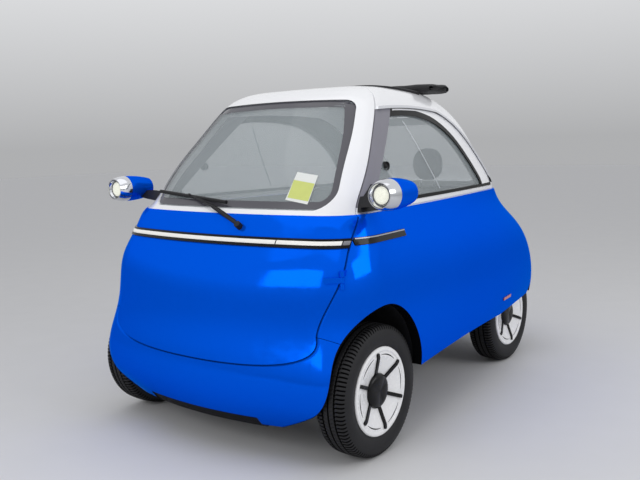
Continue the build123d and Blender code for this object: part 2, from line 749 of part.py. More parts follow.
def pod_room_outline():
    """The pod's outside with its seat clearance."""
    front = POD_BEZEL_LENGTH + SEAT_GAP
    edge = POD_RADIUS + SEAT_GAP
    tail_edge = MIRROR_RADIUS + 4 + SEAT_GAP
    Polyline((0, POD_LENGTH), (0, 0), (edge, 0), (edge, front))
    ThreePointArc((edge, front), (edge - 2, (front + POD_LENGTH) * 0.5 - 10),
                  (tail_edge, POD_LENGTH))
    Line((tail_edge, POD_LENGTH), (0, POD_LENGTH))


def lens_outline():
    back = POD_BEZEL_LENGTH
    edge = POD_LENS_RADIUS - SEAT_GAP
    Polyline((0, LENS_DEPTH), (0, back), (edge, back), (edge, LENS_DEPTH + 4), (edge - 6, LENS_DEPTH),
             (0, LENS_DEPTH))


def mirror_outline():
    Polyline((0, POD_LENGTH - MIRROR_DEPTH), (MIRROR_RADIUS, POD_LENGTH - MIRROR_DEPTH),
             (MIRROR_RADIUS, POD_LENGTH - 2), (0, POD_LENGTH - 2), close=True)


for name, outline in (("pod_bezels", bezel_outline), ("pod_housings", housing_outline),
                      ("headlamps", lens_outline), ("mirrors", mirror_outline)):
    with BuildPart() as pods:
        for side in (1, -1):
            add(pod_revolve(outline, side))
    write(pods, name)

with BuildPart() as pod_brackets:
    add(upper_proud)
    with BuildPart(mode=Mode.PRIVATE) as sail:
        with BuildSketch(Plane.YZ.offset(-SPAN)):
            with BuildLine():
                Polyline(*SAIL, close=True)
            make_face()
        extrude(amount=2 * SPAN)
    add(sail.part, mode=Mode.INTERSECT)
    add(door_cut, mode=Mode.SUBTRACT)
    with BuildPart(mode=Mode.PRIVATE) as arms:
        for side in (1, -1):
            with BuildSketch(Plane.YZ.offset(side * POD_ARM_ROOT)):
                with Locations((POD_ARM_Y, POD_ARM_Z)):
                    Ellipse(POD_ARM_LENGTH / 2, POD_ARM_HEIGHT / 2)
            with BuildSketch(Plane.YZ.offset(side * POD_X)):
                with Locations((POD_FRONT_Y + POD_BEZEL_LENGTH + 45, POD_Z - 15)):
                    Ellipse(38, 26)
            loft()
            add(pod_revolve(pod_room_outline, side), mode=Mode.SUBTRACT)
        add(block(-POD_X, POD_X, -SPAN, SPAN, 0, 2000), mode=Mode.INTERSECT)
        add(body_form(UPPER, -SEAT_GAP, -SEAT_GAP), mode=Mode.SUBTRACT)
        add(body_form(LOWER, -SEAT_GAP), mode=Mode.SUBTRACT)
    add(arms.part)
    add(door_cut, mode=Mode.SUBTRACT)
write(pod_brackets, "pod_brackets")

with BuildPart() as roof_seal:
    add(upper_proud)
    add(roof_opening(SEAL_WIDTH), mode=Mode.INTERSECT)
    add(roof_opening(SEAM_GAP), mode=Mode.SUBTRACT)
    add(block(-SPAN, SPAN, ROOF_OPENING_BACK - 40.0, SPAN, 0, 2000), mode=Mode.SUBTRACT)
    add(block(-SPAN, SPAN, -SPAN, SPAN, UPPER[-1][0] + SEAL_PROUD, 2000), mode=Mode.SUBTRACT)
write(roof_seal, "roof_seal")

with BuildPart() as folded_roof:
    with BuildSketch(Plane.YZ.offset(-FOLD_HALF)) as fold:
        with Locations((FOLD_Y, FOLD_Z)):
            SlotOverall(FOLD_LENGTH, FOLD_HEIGHT)
    extrude(amount=2 * FOLD_HALF)
    add(body_form(UPPER, -SEAT_GAP, -SEAT_GAP), mode=Mode.SUBTRACT)
    add(roof_opening(-SEAT_GAP), mode=Mode.SUBTRACT)
write(folded_roof, "folded_roof")

# ---- wiper ----
with BuildPart() as wiper:
    boss_root = Vector(*WIPER_PIVOT) - Vector(*WIPER_NORMAL).normalized() * WIPER_ROOT
    with BuildSketch(Plane(origin=boss_root, z_dir=WIPER_NORMAL)):
        Circle(WIPER_BOSS_RADIUS)
    extrude(amount=WIPER_ROOT + WIPER_STAND)
    for start, end, width in ((WIPER_PIVOT, WIPER_ELBOW, 14.0), (WIPER_ELBOW, WIPER_TIP, 8.0)):
        a = Vector(*start) + Vector(*WIPER_NORMAL).normalized() * WIPER_STAND * 0.7
        b = Vector(*end) + Vector(*WIPER_NORMAL).normalized() * WIPER_STAND * 0.7
        with BuildSketch(Plane(origin=a, z_dir=b - a)):
            Circle(width / 2)
        extrude(amount=(b - a).length)
    a, b = (Vector(*p) + Vector(*WIPER_NORMAL).normalized() * 14 for p in WIPER_BLADE)
    with BuildSketch(Plane(origin=a, z_dir=b - a)):
        Circle(8.0)
    extrude(amount=(b - a).length)
    with BuildPart(mode=Mode.PRIVATE) as front_faces:
        add(body_form(UPPER, -SEAT_GAP, -SEAT_GAP))
        add(body_form(LOWER, -SEAT_GAP))
    add(front_faces.part, mode=Mode.SUBTRACT)
write(wiper, "wiper")

# ---- floor and wheel housings ----
with BuildPart() as underbody:
    with BuildSketch(Plane.XZ.offset(-FLOOR_BACK_Y)):
        with BuildLine():
            Polyline(
                (-FLOOR_HALF, FLOOR_Z), (FLOOR_HALF, FLOOR_Z), (BELLY_HALF, BELLY_Z),
                (SPAN, BELLY_Z + 20), (SPAN, BELLY_Z + 20 + FLOOR_THICKNESS),
                (BELLY_HALF - 8, BELLY_Z + FLOOR_THICKNESS),
                (FLOOR_HALF - 10, FLOOR_Z + FLOOR_THICKNESS),
                (10 - FLOOR_HALF, FLOOR_Z + FLOOR_THICKNESS),
                (8 - BELLY_HALF, BELLY_Z + FLOOR_THICKNESS),
                (-SPAN, BELLY_Z + 20 + FLOOR_THICKNESS), (-SPAN, BELLY_Z + 20),
                (-BELLY_HALF, BELLY_Z), close=True)
        make_face()
    extrude(amount=FLOOR_BACK_Y + 1400.0)
    add(block(-SPAN, SPAN, FLOOR_BACK_Y - FLOOR_THICKNESS, FLOOR_BACK_Y, FLOOR_Z, CARGO_FLOOR_Z))
    add(block(-SPAN, SPAN, FLOOR_BACK_Y - FLOOR_THICKNESS, 1400.0,
              CARGO_FLOOR_Z - FLOOR_THICKNESS, CARGO_FLOOR_Z))
    add(arch_region(TUB_WALL, FRONT_TUB_INNER - TUB_WALL))
    add(rear_tub_region(TUB_WALL, REAR_TUB_INNER - TUB_WALL))
    add(arch_region(0.0, FRONT_TUB_INNER), mode=Mode.SUBTRACT)
    add(rear_tub_region(0.0, REAR_TUB_INNER), mode=Mode.SUBTRACT)
    add(block(-SPAN, SPAN, -2000, 2000, -500, FLOOR_Z), mode=Mode.SUBTRACT)
    for x0, x1 in ((FLOOR_HALF, SPAN), (-SPAN, -FLOOR_HALF)):
        add(block(x0, x1, FLOOR_BACK_Y - FLOOR_THICKNESS - 1.0, 1400.0, 0, SILL_REAR[1]),
            mode=Mode.SUBTRACT)
    with Locations((0, REAR_AXLE_Y, HUB_Z)):
        Cylinder(AXLE_TUBE_RADIUS + SEAT_GAP, 2 * SPAN, rotation=(0, 90, 0), mode=Mode.SUBTRACT)
    add(cabin_space, mode=Mode.INTERSECT)
write(underbody, "underbody")

# ---- suspension and drive ----
ARM_Z = (HUB_Z - UPRIGHT_HEIGHT / 2 - BOSS_HEIGHT / 2 - 2.0,
         HUB_Z + UPRIGHT_HEIGHT / 2 + BOSS_HEIGHT / 2 + 2.0)
with BuildPart() as front_suspension:
    for side in (1, -1):
        for z in ARM_Z:
            with BuildSketch(Plane.XY.offset(z - ARM_THICKNESS / 2)):
                with BuildLine():
                    Polyline(
                        (side * FRONT_TUB_INNER, FRONT_AXLE_Y - ARM_SPREAD - 12),
                        (side * FRONT_TUB_INNER, FRONT_AXLE_Y - ARM_SPREAD + 12),
                        (side * (KINGPIN_X - 70), FRONT_AXLE_Y),
                        (side * FRONT_TUB_INNER, FRONT_AXLE_Y + ARM_SPREAD - 12),
                        (side * FRONT_TUB_INNER, FRONT_AXLE_Y + ARM_SPREAD + 12),
                        (side * KINGPIN_X, FRONT_AXLE_Y + 16),
                        (side * KINGPIN_X, FRONT_AXLE_Y - 16), close=True)
                make_face()
            extrude(amount=ARM_THICKNESS)
            with Locations((side * KINGPIN_X, FRONT_AXLE_Y, z)):
                Cylinder(BOSS_RADIUS, BOSS_HEIGHT)
                Cylinder(KINGPIN_RADIUS + RUNNING_GAP, 2 * BOSS_HEIGHT, mode=Mode.SUBTRACT)
        cross = side * (KINGPIN_X - 62)
        foot = (cross, FRONT_AXLE_Y, ARM_Z[0])
        with BuildPart(mode=Mode.PRIVATE) as damper:
            a = Vector(*foot)
            b = Vector(side * DAMPER_TOP_X, FRONT_AXLE_Y, HUB_Z + ARCH_RISE + 40)
            with BuildSketch(Plane(origin=a, z_dir=b - a)):
                Circle(DAMPER_ROD)
            extrude(amount=(b - a).length)
            with BuildSketch(Plane(origin=a + (b - a) * 0.45, z_dir=b - a)):
                Circle(DAMPER_RADIUS)
            extrude(amount=(b - a).length * 0.55)
            add(arch_region(-SEAT_GAP, FRONT_TUB_INNER), mode=Mode.INTERSECT)
        add(damper.part)
write(front_suspension, "front_suspension")

with BuildPart() as rear_suspension:
    with Locations((0, REAR_AXLE_Y, HUB_Z)):
        Cylinder(AXLE_TUBE_RADIUS, 2 * (REAR_TUB_INNER + 10), rotation=(0, 90, 0))
        Cylinder(SPINDLE_RADIUS, 2 * (REAR_WHEEL_X + SPINDLE_END), rotation=(0, 90, 0))
    for side in (1, -1):
        with BuildSketch(Plane.YZ.offset(side * LINK_X - 12)):
            with BuildLine():
                Polyline(
                    (FLOOR_BACK_Y + SEAT_GAP, FLOOR_Z + 25), (REAR_AXLE_Y - 20, HUB_Z - 20),
                    (REAR_AXLE_Y + 10, HUB_Z), (REAR_AXLE_Y - 20, HUB_Z + 20),
                    (FLOOR_BACK_Y + SEAT_GAP, FLOOR_Z + 75), close=True)
            make_face()
        extrude(amount=24)
        with BuildSketch(Plane.XY.offset(HUB_Z)):
            with Locations((side * LINK_X, REAR_AXLE_Y + 40)):
                Circle(DAMPER_RADIUS)
        extrude(amount=CARGO_FLOOR_Z - FLOOR_THICKNESS - SEAT_GAP - HUB_Z)
        with Locations((side * LINK_X, REAR_AXLE_Y + 25, HUB_Z)):
            Box(24, 60, 24)
write(rear_suspension, "rear_suspension")

with BuildPart() as drive_unit:
    with Locations((0, REAR_AXLE_Y, (DRIVE_BOTTOM + CARGO_FLOOR_Z - FLOOR_THICKNESS) / 2)):
        Box(DRIVE_WIDTH, DRIVE_LENGTH, CARGO_FLOOR_Z - FLOOR_THICKNESS - DRIVE_BOTTOM)
    fillet(drive_unit.edges().filter_by(Axis.X), 40.0)
    fillet(drive_unit.edges().group_by(Axis.X)[0] + drive_unit.edges().group_by(Axis.X)[-1], 8.0)
write(drive_unit, "drive_unit")

with BuildPart() as battery_pack:
    with BuildSketch(Plane.XY.offset(FLOOR_Z + FLOOR_THICKNESS)) as plan:
        with Locations((0, (BATTERY_FRONT + BATTERY_BACK) / 2)):
            RectangleRounded(2 * BATTERY_HALF, BATTERY_BACK - BATTERY_FRONT, 20)
    extrude(amount=BATTERY_HEIGHT)
write(battery_pack, "battery_pack")

# ---- seats ----
SEAT_Z = FLOOR_Z + FLOOR_THICKNESS + BATTERY_HEIGHT + SEAT_GAP
with BuildPart() as seat_base:
    with BuildSketch(Plane.YZ.offset(-SEAT_HALF)) as seat_side:
        with BuildLine():
            Polyline((SEAT_FRONT, SEAT_Z), (SEAT_FRONT, SEAT_Z + 150),
                     (SEAT_BACK_Y, SEAT_Z + 120), (SEAT_BACK_Y, SEAT_Z), close=True)
        make_face()
        fillet(seat_side.vertices().group_by(Axis.Y)[0], 40)
    extrude(amount=2 * SEAT_HALF)
    fillet(seat_base.edges().filter_by(Axis.Z), 25)
write(seat_base, "seat_base")

with BuildPart() as seat_back:
    with BuildSketch(Plane.YZ.offset(-SEAT_HALF)) as seat_side:
        with BuildLine():
            Polyline((SEAT_BACK_Y + SEAT_GAP, SEAT_Z), (SEAT_BACK_Y + SEAT_GAP, SEAT_Z + 125),
                     (SEAT_TOP_Y, SEAT_TOP_Z), (SEAT_TOP_Y + 70, SEAT_TOP_Z),
                     (FLOOR_BACK_Y - FLOOR_THICKNESS - SEAT_GAP, CARGO_FLOOR_Z + 10),
                     (FLOOR_BACK_Y - FLOOR_THICKNESS - SEAT_GAP, SEAT_Z), close=True)
        make_face()
        fillet(seat_side.vertices().group_by(Axis.Z)[-1], 25)
    extrude(amount=2 * SEAT_HALF)
write(seat_back, "seat_back")

with BuildPart() as headrests:
    for side in (1, -1):
        with BuildSketch(Plane.XZ.offset(-HEADREST_Y - 35)) as rest:
            with Locations((side * SEAT_CENTRE_X, HEADREST_Z)):
                RectangleRounded(HEADREST_WIDTH, HEADREST_HEIGHT, 60)
        extrude(amount=70)
        for post in (-40, 40):
            with BuildSketch(Plane.XY.offset(SEAT_TOP_Z + SEAT_GAP)):
                with Locations((side * SEAT_CENTRE_X + post, HEADREST_Y)):
                    Circle(7)
            extrude(amount=HEADREST_Z - SEAT_TOP_Z)
write(headrests, "headrests")

# ---- steering ----
WHEEL_AXIS = Vector(0, cos(radians(STEER_TILT)), sin(radians(STEER_TILT)))
WHEEL_CENTRE = Vector(STEER_X, STEER_Y, STEER_Z)
with BuildPart() as steering_column:
    shaft_end = WHEEL_CENTRE + WHEEL_AXIS * 8
    shroud_top = WHEEL_CENTRE - WHEEL_AXIS * 30
    shroud_foot = WHEEL_CENTRE - WHEEL_AXIS * COLUMN_LENGTH
    with BuildSketch(Plane(origin=shroud_foot, z_dir=WHEEL_AXIS)):
        RectangleRounded(70, 60, 20)
    extrude(amount=COLUMN_LENGTH - 30)
    with BuildSketch(Plane(origin=shroud_top, z_dir=WHEEL_AXIS)):
        Circle(STEER_SHAFT)
    extrude(amount=38)
    with BuildSketch(Plane.XY.offset(FLOOR_Z + FLOOR_THICKNESS)):
        with Locations((STEER_X, POST_FOOT_Y)):
            RectangleRounded(90, 110, 20)
    with BuildSketch(Plane.XY.offset(shroud_foot.Z)):
        with Locations((STEER_X, shroud_foot.Y + 10)):
            RectangleRounded(56, 60, 16)
    loft()
write(steering_column, "steering_column")

with BuildPart() as steering_wheel:
    rim_plane = Plane(origin=WHEEL_CENTRE, x_dir=(1, 0, 0), z_dir=WHEEL_AXIS)
    with BuildSketch(Plane(origin=WHEEL_CENTRE, x_dir=(1, 0, 0), z_dir=rim_plane.y_dir)):
        with Locations((STEER_RADIUS, 0)):
            Circle(STEER_RIM)
    revolve(axis=Axis(WHEEL_CENTRE, WHEEL_AXIS))
    with BuildSketch(rim_plane.offset(-22)):
        Circle(38)
    extrude(amount=34)
    with BuildSketch(rim_plane.offset(-7)):
        for angle in (0, 180, 270):
            with PolarLocations(0, 1, angle):
                with Locations((STEER_RADIUS / 2, 0)):
                    Rectangle(STEER_RADIUS - 6, 34)
    extrude(amount=9)
    with BuildSketch(rim_plane.offset(-24)):
        Circle(STEER_SHAFT + RUNNING_GAP)
    extrude(amount=32.2, mode=Mode.SUBTRACT)
write(steering_wheel, "steering_wheel")

# ---- wheels ----
WHEELS = [
    ("front_left", 1, FRONT_WHEEL_X, FRONT_AXLE_Y),
    ("front_right", -1, FRONT_WHEEL_X, FRONT_AXLE_Y),
    ("rear_left", 1, REAR_WHEEL_X, REAR_AXLE_Y),
    ("rear_right", -1, REAR_WHEEL_X, REAR_AXLE_Y),
]


def wheel_plane(side, x, y):
    """Origin in the tyre's middle, X out to the side, Y up."""
    return Plane(origin=(side * x, y, HUB_Z), x_dir=(side, 0, 0), z_dir=(0, -side, 0))


def wheel_axis(side, x, y):
    return Axis((side * x, y, HUB_Z), (side, 0, 0))


def tyre_outline():
    half = TYRE_WIDTH / 2
    bead = half - 21
    Line((-bead, BEAD_RADIUS), (bead, BEAD_RADIUS))
    ThreePointArc((bead, BEAD_RADIUS), (half, (BEAD_RADIUS + TYRE_RADIUS) / 2 - 4),
                  (half - 8, TYRE_RADIUS - 18))
    ThreePointArc((half - 8, TYRE_RADIUS - 18), (half - 12, TYRE_RADIUS - 9),
                  (half - 22, TYRE_RADIUS - 3))
    ThreePointArc((half - 22, TYRE_RADIUS - 3), (0, TYRE_RADIUS), (22 - half, TYRE_RADIUS - 3))
    ThreePointArc((22 - half, TYRE_RADIUS - 3), (12 - half, TYRE_RADIUS - 9),
                  (8 - half, TYRE_RADIUS - 18))
    ThreePointArc((8 - half, TYRE_RADIUS - 18),
                  (-half, (BEAD_RADIUS + TYRE_RADIUS) / 2 - 4), (-bead, BEAD_RADIUS))


def rim_outline():
    """Barrel, disc, hub and cover in one closed outline, bored for the spindle."""
    outer = BEAD_RADIUS - SEAT_GAP
    Polyline(
        (-54, outer), (-54, outer - 12), (20, outer - 14), (28, outer - 30), (30, 70),
        (18, HUB_RADIUS), (8, HUB_RADIUS), (8, SPINDLE_RADIUS + RUNNING_GAP),
        (SPINDLE_END + 1, SPINDLE_RADIUS + RUNNING_GAP), (SPINDLE_END + 1, 0),
        (COVER_FACE - DISH_DEPTH, 0), (COVER_FACE - DISH_DEPTH, DISH_INNER),
        (COVER_FACE, DISH_OUTER), (COVER_FACE, COVER_RADIUS - 7), (COVER_FACE - 3, COVER_RADIUS),
        (COVER_FACE - 4, COVER_RADIUS), (COVER_FACE - 12, outer - 8), (40, outer - 6),
        (40, outer), close=True)


def spider_outline():
    """Layer over the dished cover, with the domed cap in its middle."""
    middle = COVER_FACE - DISH_DEPTH
    Polyline(
        (middle, 0), (middle, DISH_INNER), (COVER_FACE, DISH_OUTER), (COVER_FACE, SPOKE_REACH),
        (COVER_FACE + SPOKE_HEIGHT, SPOKE_REACH), (COVER_FACE + SPOKE_HEIGHT, DISH_OUTER),
        (middle + SPOKE_HEIGHT, DISH_INNER), (middle + SPOKE_HEIGHT, HUBCAP_RADIUS),
        (middle + SPOKE_HEIGHT + HUBCAP_DOME, HUBCAP_RADIUS - 14.0),
        (middle + SPOKE_HEIGHT + HUBCAP_DOME, 0), close=True)


for name, side, x, y in WHEELS:
    plane = wheel_plane(side, x, y)
    with BuildPart() as tyre:
        with BuildSketch(plane):
            with BuildLine():
                tyre_outline()
            make_face()
        revolve(axis=wheel_axis(side, x, y))
    write(tyre, f"tyre_{name}")

    with BuildPart() as wheel:
        with BuildSketch(plane):
            with BuildLine():
                rim_outline()
            make_face()
        revolve(axis=wheel_axis(side, x, y))
    write(wheel, f"wheel_{name}")

    back = Plane(origin=(side * x, y, HUB_Z), x_dir=(0, 1, 0), z_dir=(side, 0, 0))
    with BuildPart() as spider:
        with BuildSketch(plane):
            with BuildLine():
                spider_outline()
            make_face()
        revolve(axis=wheel_axis(side, x, y))
        with BuildPart(mode=Mode.PRIVATE) as star:
            with BuildSketch(back):
                Circle(HUBCAP_RADIUS)
                for spoke in range(SPOKE_COUNT):
                    turn = SPOKE_PHASE + spoke * 360.0 / SPOKE_COUNT
                    middle = (SPOKE_REACH / 2 * cos(radians(turn)),
                              side * SPOKE_REACH / 2 * sin(radians(turn)))
                    with Locations(middle):
                        SlotOverall(SPOKE_REACH, SPOKE_WIDTH, rotation=side * turn)
            extrude(amount=2 * COVER_FACE)
        add(star.part, mode=Mode.INTERSECT)
    write(spider, f"spider_{name}")

for name, side in (("left", 1), ("right", -1)):
    with BuildPart() as knuckle:
        with Locations((side * KINGPIN_X, FRONT_AXLE_Y, HUB_Z)):
            Box(36, 56, UPRIGHT_HEIGHT)
            Cylinder(KINGPIN_RADIUS, UPRIGHT_HEIGHT + 2 * BOSS_HEIGHT + 8)
        with BuildSketch(Plane.YZ.offset(side * KINGPIN_X)):
            with Locations((FRONT_AXLE_Y, HUB_Z)):
                Circle(SPINDLE_RADIUS)
        extrude(amount=side * (FRONT_WHEEL_X + SPINDLE_END - KINGPIN_X))
        with BuildSketch(Plane.XY.offset(HUB_Z - 30)):
            with BuildLine():
                Polyline((side * (KINGPIN_X - 18), FRONT_AXLE_Y + 10),
                         (side * (KINGPIN_X - 18), FRONT_AXLE_Y + 28),
                         (side * (KINGPIN_X - 40), FRONT_AXLE_Y + 95),
                         (side * (KINGPIN_X - 60), FRONT_AXLE_Y + 90), close=True)
            make_face()
        extrude(amount=14)
    write(knuckle, f"knuckle_{name}")
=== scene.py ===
import json
import math
import bpy
from mathutils import Matrix, Vector
from mathutils.bvhtree import BVHTree


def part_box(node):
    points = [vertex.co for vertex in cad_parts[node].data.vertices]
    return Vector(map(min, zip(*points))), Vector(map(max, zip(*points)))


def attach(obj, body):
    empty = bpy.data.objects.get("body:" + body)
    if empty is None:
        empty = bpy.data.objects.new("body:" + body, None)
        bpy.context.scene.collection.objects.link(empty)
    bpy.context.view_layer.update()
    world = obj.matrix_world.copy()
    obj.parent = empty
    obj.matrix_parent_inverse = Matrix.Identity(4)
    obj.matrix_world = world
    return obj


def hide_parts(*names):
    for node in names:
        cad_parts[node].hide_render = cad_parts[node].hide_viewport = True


# Sizes are in metres, except where a comment says millimetres.
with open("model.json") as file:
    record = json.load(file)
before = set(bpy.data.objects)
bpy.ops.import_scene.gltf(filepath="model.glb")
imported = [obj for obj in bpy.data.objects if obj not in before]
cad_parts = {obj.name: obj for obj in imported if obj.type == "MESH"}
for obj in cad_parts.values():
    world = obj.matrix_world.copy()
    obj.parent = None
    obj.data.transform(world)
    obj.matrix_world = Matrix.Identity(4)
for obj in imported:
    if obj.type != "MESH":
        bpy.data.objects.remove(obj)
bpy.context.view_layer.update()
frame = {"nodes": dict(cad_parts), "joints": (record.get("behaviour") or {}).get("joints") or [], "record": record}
nodes = frame["nodes"]
node_slot = {part["node"]: part["material_slot"] for part in frame["record"]["subparts"]}
joint_place = {joint["name"]: joint["pos_m"] for joint in frame["joints"]}
scene = bpy.context.scene

# ---- places that come from the frame ----
SIDES = ((1, "left"), (-1, "right"))
spin_place = {wheel: joint_place[f"{wheel}_spin"]
              for wheel in ("front_left", "front_right", "rear_left", "rear_right")}
# Each wheel's side, its distance from the middle plane and its place along the car.
WHEELS = {wheel: (1 if x > 0 else -1, abs(x), y) for wheel, (x, y, z) in spin_place.items()}
FRONT_AXLE_Y, HUB_Z = spin_place["front_left"][1:]
bezels_low, bezels_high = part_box("pod_bezels")
pods_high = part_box("pod_housings")[1]
POD_RADIUS = (bezels_high[2] - bezels_low[2]) / 2
POD_X = round(pods_high[0] - POD_RADIUS, 3)
POD_FACE_Y = round(bezels_low[1], 3)
POD_Z = round(bezels_low[2] + POD_RADIUS, 3)

# ---- camera, at the photograph's viewing angle ----
CAMERA_PLACE = Vector((2.33112, -3.39025, 1.24808))
CAMERA_AZIMUTH, CAMERA_PITCH, CAMERA_ROLL = (math.radians(v) for v in (37.40, 7.09, -1.51))
CAMERA_LENS, CAMERA_SENSOR = 44.17, 36.0  # millimetres


def make_camera():
    back = Vector((math.sin(CAMERA_AZIMUTH) * math.cos(CAMERA_PITCH),
                   -math.cos(CAMERA_AZIMUTH) * math.cos(CAMERA_PITCH),
                   math.sin(CAMERA_PITCH)))
    level = (-back).cross(Vector((0, 0, 1))).normalized()
    rise = level.cross(-back)
    c, s = math.cos(CAMERA_ROLL), math.sin(CAMERA_ROLL)
    right = level * c + rise * s
    up = rise * c - level * s
    data = bpy.data.cameras.new("camera")
    data.lens = CAMERA_LENS
    data.sensor_width = CAMERA_SENSOR
    camera = bpy.data.objects.new("camera", data)
    turn = Matrix((right, up, back)).transposed().to_4x4()
    camera.matrix_world = Matrix.Translation(CAMERA_PLACE) @ turn
    scene.collection.objects.link(camera)
    scene.camera = camera


# ---- material nodes ----
def math_node(nt, operation, a, b=None):
    node = nt.nodes.new("ShaderNodeMath")
    node.operation = operation
    for socket, value in zip(node.inputs, (a, b)):
        if value is None:
            continue
        if isinstance(value, (int, float)):
            socket.default_value = value
        else:
            nt.links.new(value, socket)
    return node.outputs[0]


def mix_colour(nt, factor, a, b):
    node = nt.nodes.new("ShaderNodeMix")
    node.data_type = "RGBA"
    for name, value in (("Factor", factor), ("A", a), ("B", b)):
        kind = "VALUE" if name == "Factor" else "RGBA"
        socket = next(i for i in node.inputs if i.name == name and i.type == kind)
        if isinstance(value, tuple):
            socket.default_value = (*value, 1.0)
        else:
            nt.links.new(value, socket)
    return next(o for o in node.outputs if o.type == "RGBA")


def noise(nt, place, scale, detail=3.0):
    node = nt.nodes.new("ShaderNodeTexNoise")
    node.inputs["Scale"].default_value = scale
    node.inputs["Detail"].default_value = detail
    nt.links.new(place, node.inputs["Vector"])
    return node.outputs[0]


def ramp(nt, value, low, high, to_low=0.0, to_high=1.0):
    node = nt.nodes.new("ShaderNodeMapRange")
    node.inputs["From Min"].default_value = low
    node.inputs["From Max"].default_value = high
    node.inputs["To Min"].default_value = to_low
    node.inputs["To Max"].default_value = to_high
    nt.links.new(value, node.inputs["Value"])
    return node.outputs["Result"]


def bump_from(nt, height, strength, distance):
    node = nt.nodes.new("ShaderNodeBump")
    node.inputs["Strength"].default_value = strength
    node.inputs["Distance"].default_value = distance
    nt.links.new(height, node.inputs["Height"])
    return node.outputs["Normal"]


def split_place(nt, place):
    parts = nt.nodes.new("ShaderNodeSeparateXYZ")
    nt.links.new(place, parts.inputs[0])
    return parts.outputs


WEAVE_DISTORTION = 0.6


def weave_height(nt, place, scale):
    """Crossed threads, from one set of bands along each axis."""
    heights = []
    for direction in ("X", "Y", "Z"):
        node = nt.nodes.new("ShaderNodeTexWave")
        node.bands_direction = direction
        node.inputs["Scale"].default_value = scale
        node.inputs["Distortion"].default_value = WEAVE_DISTORTION
        nt.links.new(place, node.inputs["Vector"])
        heights.append(node.outputs[1])
    return math_node(nt, "ADD", math_node(nt, "ADD", heights[0], heights[1]), heights[2])


COAT_ROUGH = 0.03
ROUGH_LEAST = 0.01
ROUGH_FINER = 9.0  # how much finer the roughness varies than the colour
PATCH_LOW, PATCH_HIGH = 0.3, 0.7  # noise below and above these gives the two extremes
WEAVE_STRENGTH, WEAVE_DEPTH, GRAIN_DEPTH = 0.5, 0.0006, 0.0005


def surface(name, colour, rough, metallic=0.0, coat=0.0, alpha=1.0, vary=0.05, vary_scale=5.0,
            rough_vary=0.04, bump=0.0, bump_scale=400.0, weave=0.0, sheen=0.0, glow=0.0,
            gloss_level=0.5, gloss_tint=(1.0, 1.0, 1.0), masked=()):
    """One procedural finish. masked lists further colours, each with the function that
    gives the share of it at a place."""
    mat = bpy.data.materials.new(name)
    mat.use_nodes = True
    nt = mat.node_tree
    shader = nt.nodes["Principled BSDF"]
    place = nt.nodes.new("ShaderNodeTexCoord").outputs["Object"]
    darker = tuple(c * (1.0 - vary) for c in colour)
    lighter = tuple(min(1.0, c * (1.0 + vary)) for c in colour)
    shade = mix_colour(nt, noise(nt, place, vary_scale), darker, lighter)
    for other, share in masked:
        shade = mix_colour(nt, share(nt, place), shade, other)
    nt.links.new(shade, shader.inputs["Base Color"])
    patches = noise(nt, place, vary_scale * ROUGH_FINER, 5.0)
    smoothest, roughest = max(ROUGH_LEAST, rough - rough_vary), rough + rough_vary
    uneven = ramp(nt, patches, PATCH_LOW, PATCH_HIGH, smoothest, roughest)
    nt.links.new(uneven, shader.inputs["Roughness"])
    shader.inputs["Metallic"].default_value = metallic
    shader.inputs["Coat Weight"].default_value = coat
    shader.inputs["Coat Roughness"].default_value = COAT_ROUGH
    shader.inputs["Sheen Weight"].default_value = sheen
    shader.inputs["Specular IOR Level"].default_value = gloss_level
    shader.inputs["Specular Tint"].default_value = (*gloss_tint, 1.0)
    shader.inputs["Alpha"].default_value = alpha
    if glow:
        nt.links.new(shade, shader.inputs["Emission Color"])
        shader.inputs["Emission Strength"].default_value = glow
    if weave:
        height = weave_height(nt, place, weave)
        nt.links.new(bump_from(nt, height, WEAVE_STRENGTH, WEAVE_DEPTH), shader.inputs["Normal"])
    elif bump:
        height = noise(nt, place, bump_scale, 2.0)
        nt.links.new(bump_from(nt, height, bump, GRAIN_DEPTH), shader.inputs["Normal"])
    return mat


# ---- places where a node changes colour ----
# The side window's front edge leans: y - POST_LEAN * z is POST_EDGE all the way up.
POST_LEAN, POST_EDGE, POST_BLEND = 0.96, -1.720, 0.002
ARCH_HALF_LENGTH, ARCH_HEIGHT, ARCH_BLEND = 0.2845, 0.3525, 0.002
FACING_IN_FROM, FACING_IN_FULL = -0.05, -0.12


def behind_front_post(nt, place):
    """1 behind the side window's leaning front edge, where the frame is black rubber."""
    parts = split_place(nt, place)
    lean = math_node(nt, "MULTIPLY", parts["Z"], POST_LEAN)
    ahead = math_node(nt, "SUBTRACT", parts["Y"], lean)
    return ramp(nt, ahead, POST_EDGE - POST_BLEND, POST_EDGE + POST_BLEND)


def in_wheel_arch(nt, place):
    """1 on the cut edge of the front wheel arches, which has a black liner."""
    parts = split_place(nt, place)
    behind = math_node(nt, "SUBTRACT", parts["Y"], FRONT_AXLE_Y)
    over = math_node(nt, "SUBTRACT", parts["Z"], HUB_Z)
    along = math_node(nt, "DIVIDE", behind, ARCH_HALF_LENGTH)
    above = math_node(nt, "DIVIDE", over, ARCH_HEIGHT)
    reach = math_node(nt, "ADD", math_node(nt, "POWER", along, 2.0),
                      math_node(nt, "POWER", above, 2.0))
    return ramp(nt, reach, 1.0 + ARCH_BLEND, 1.0 - ARCH_BLEND)


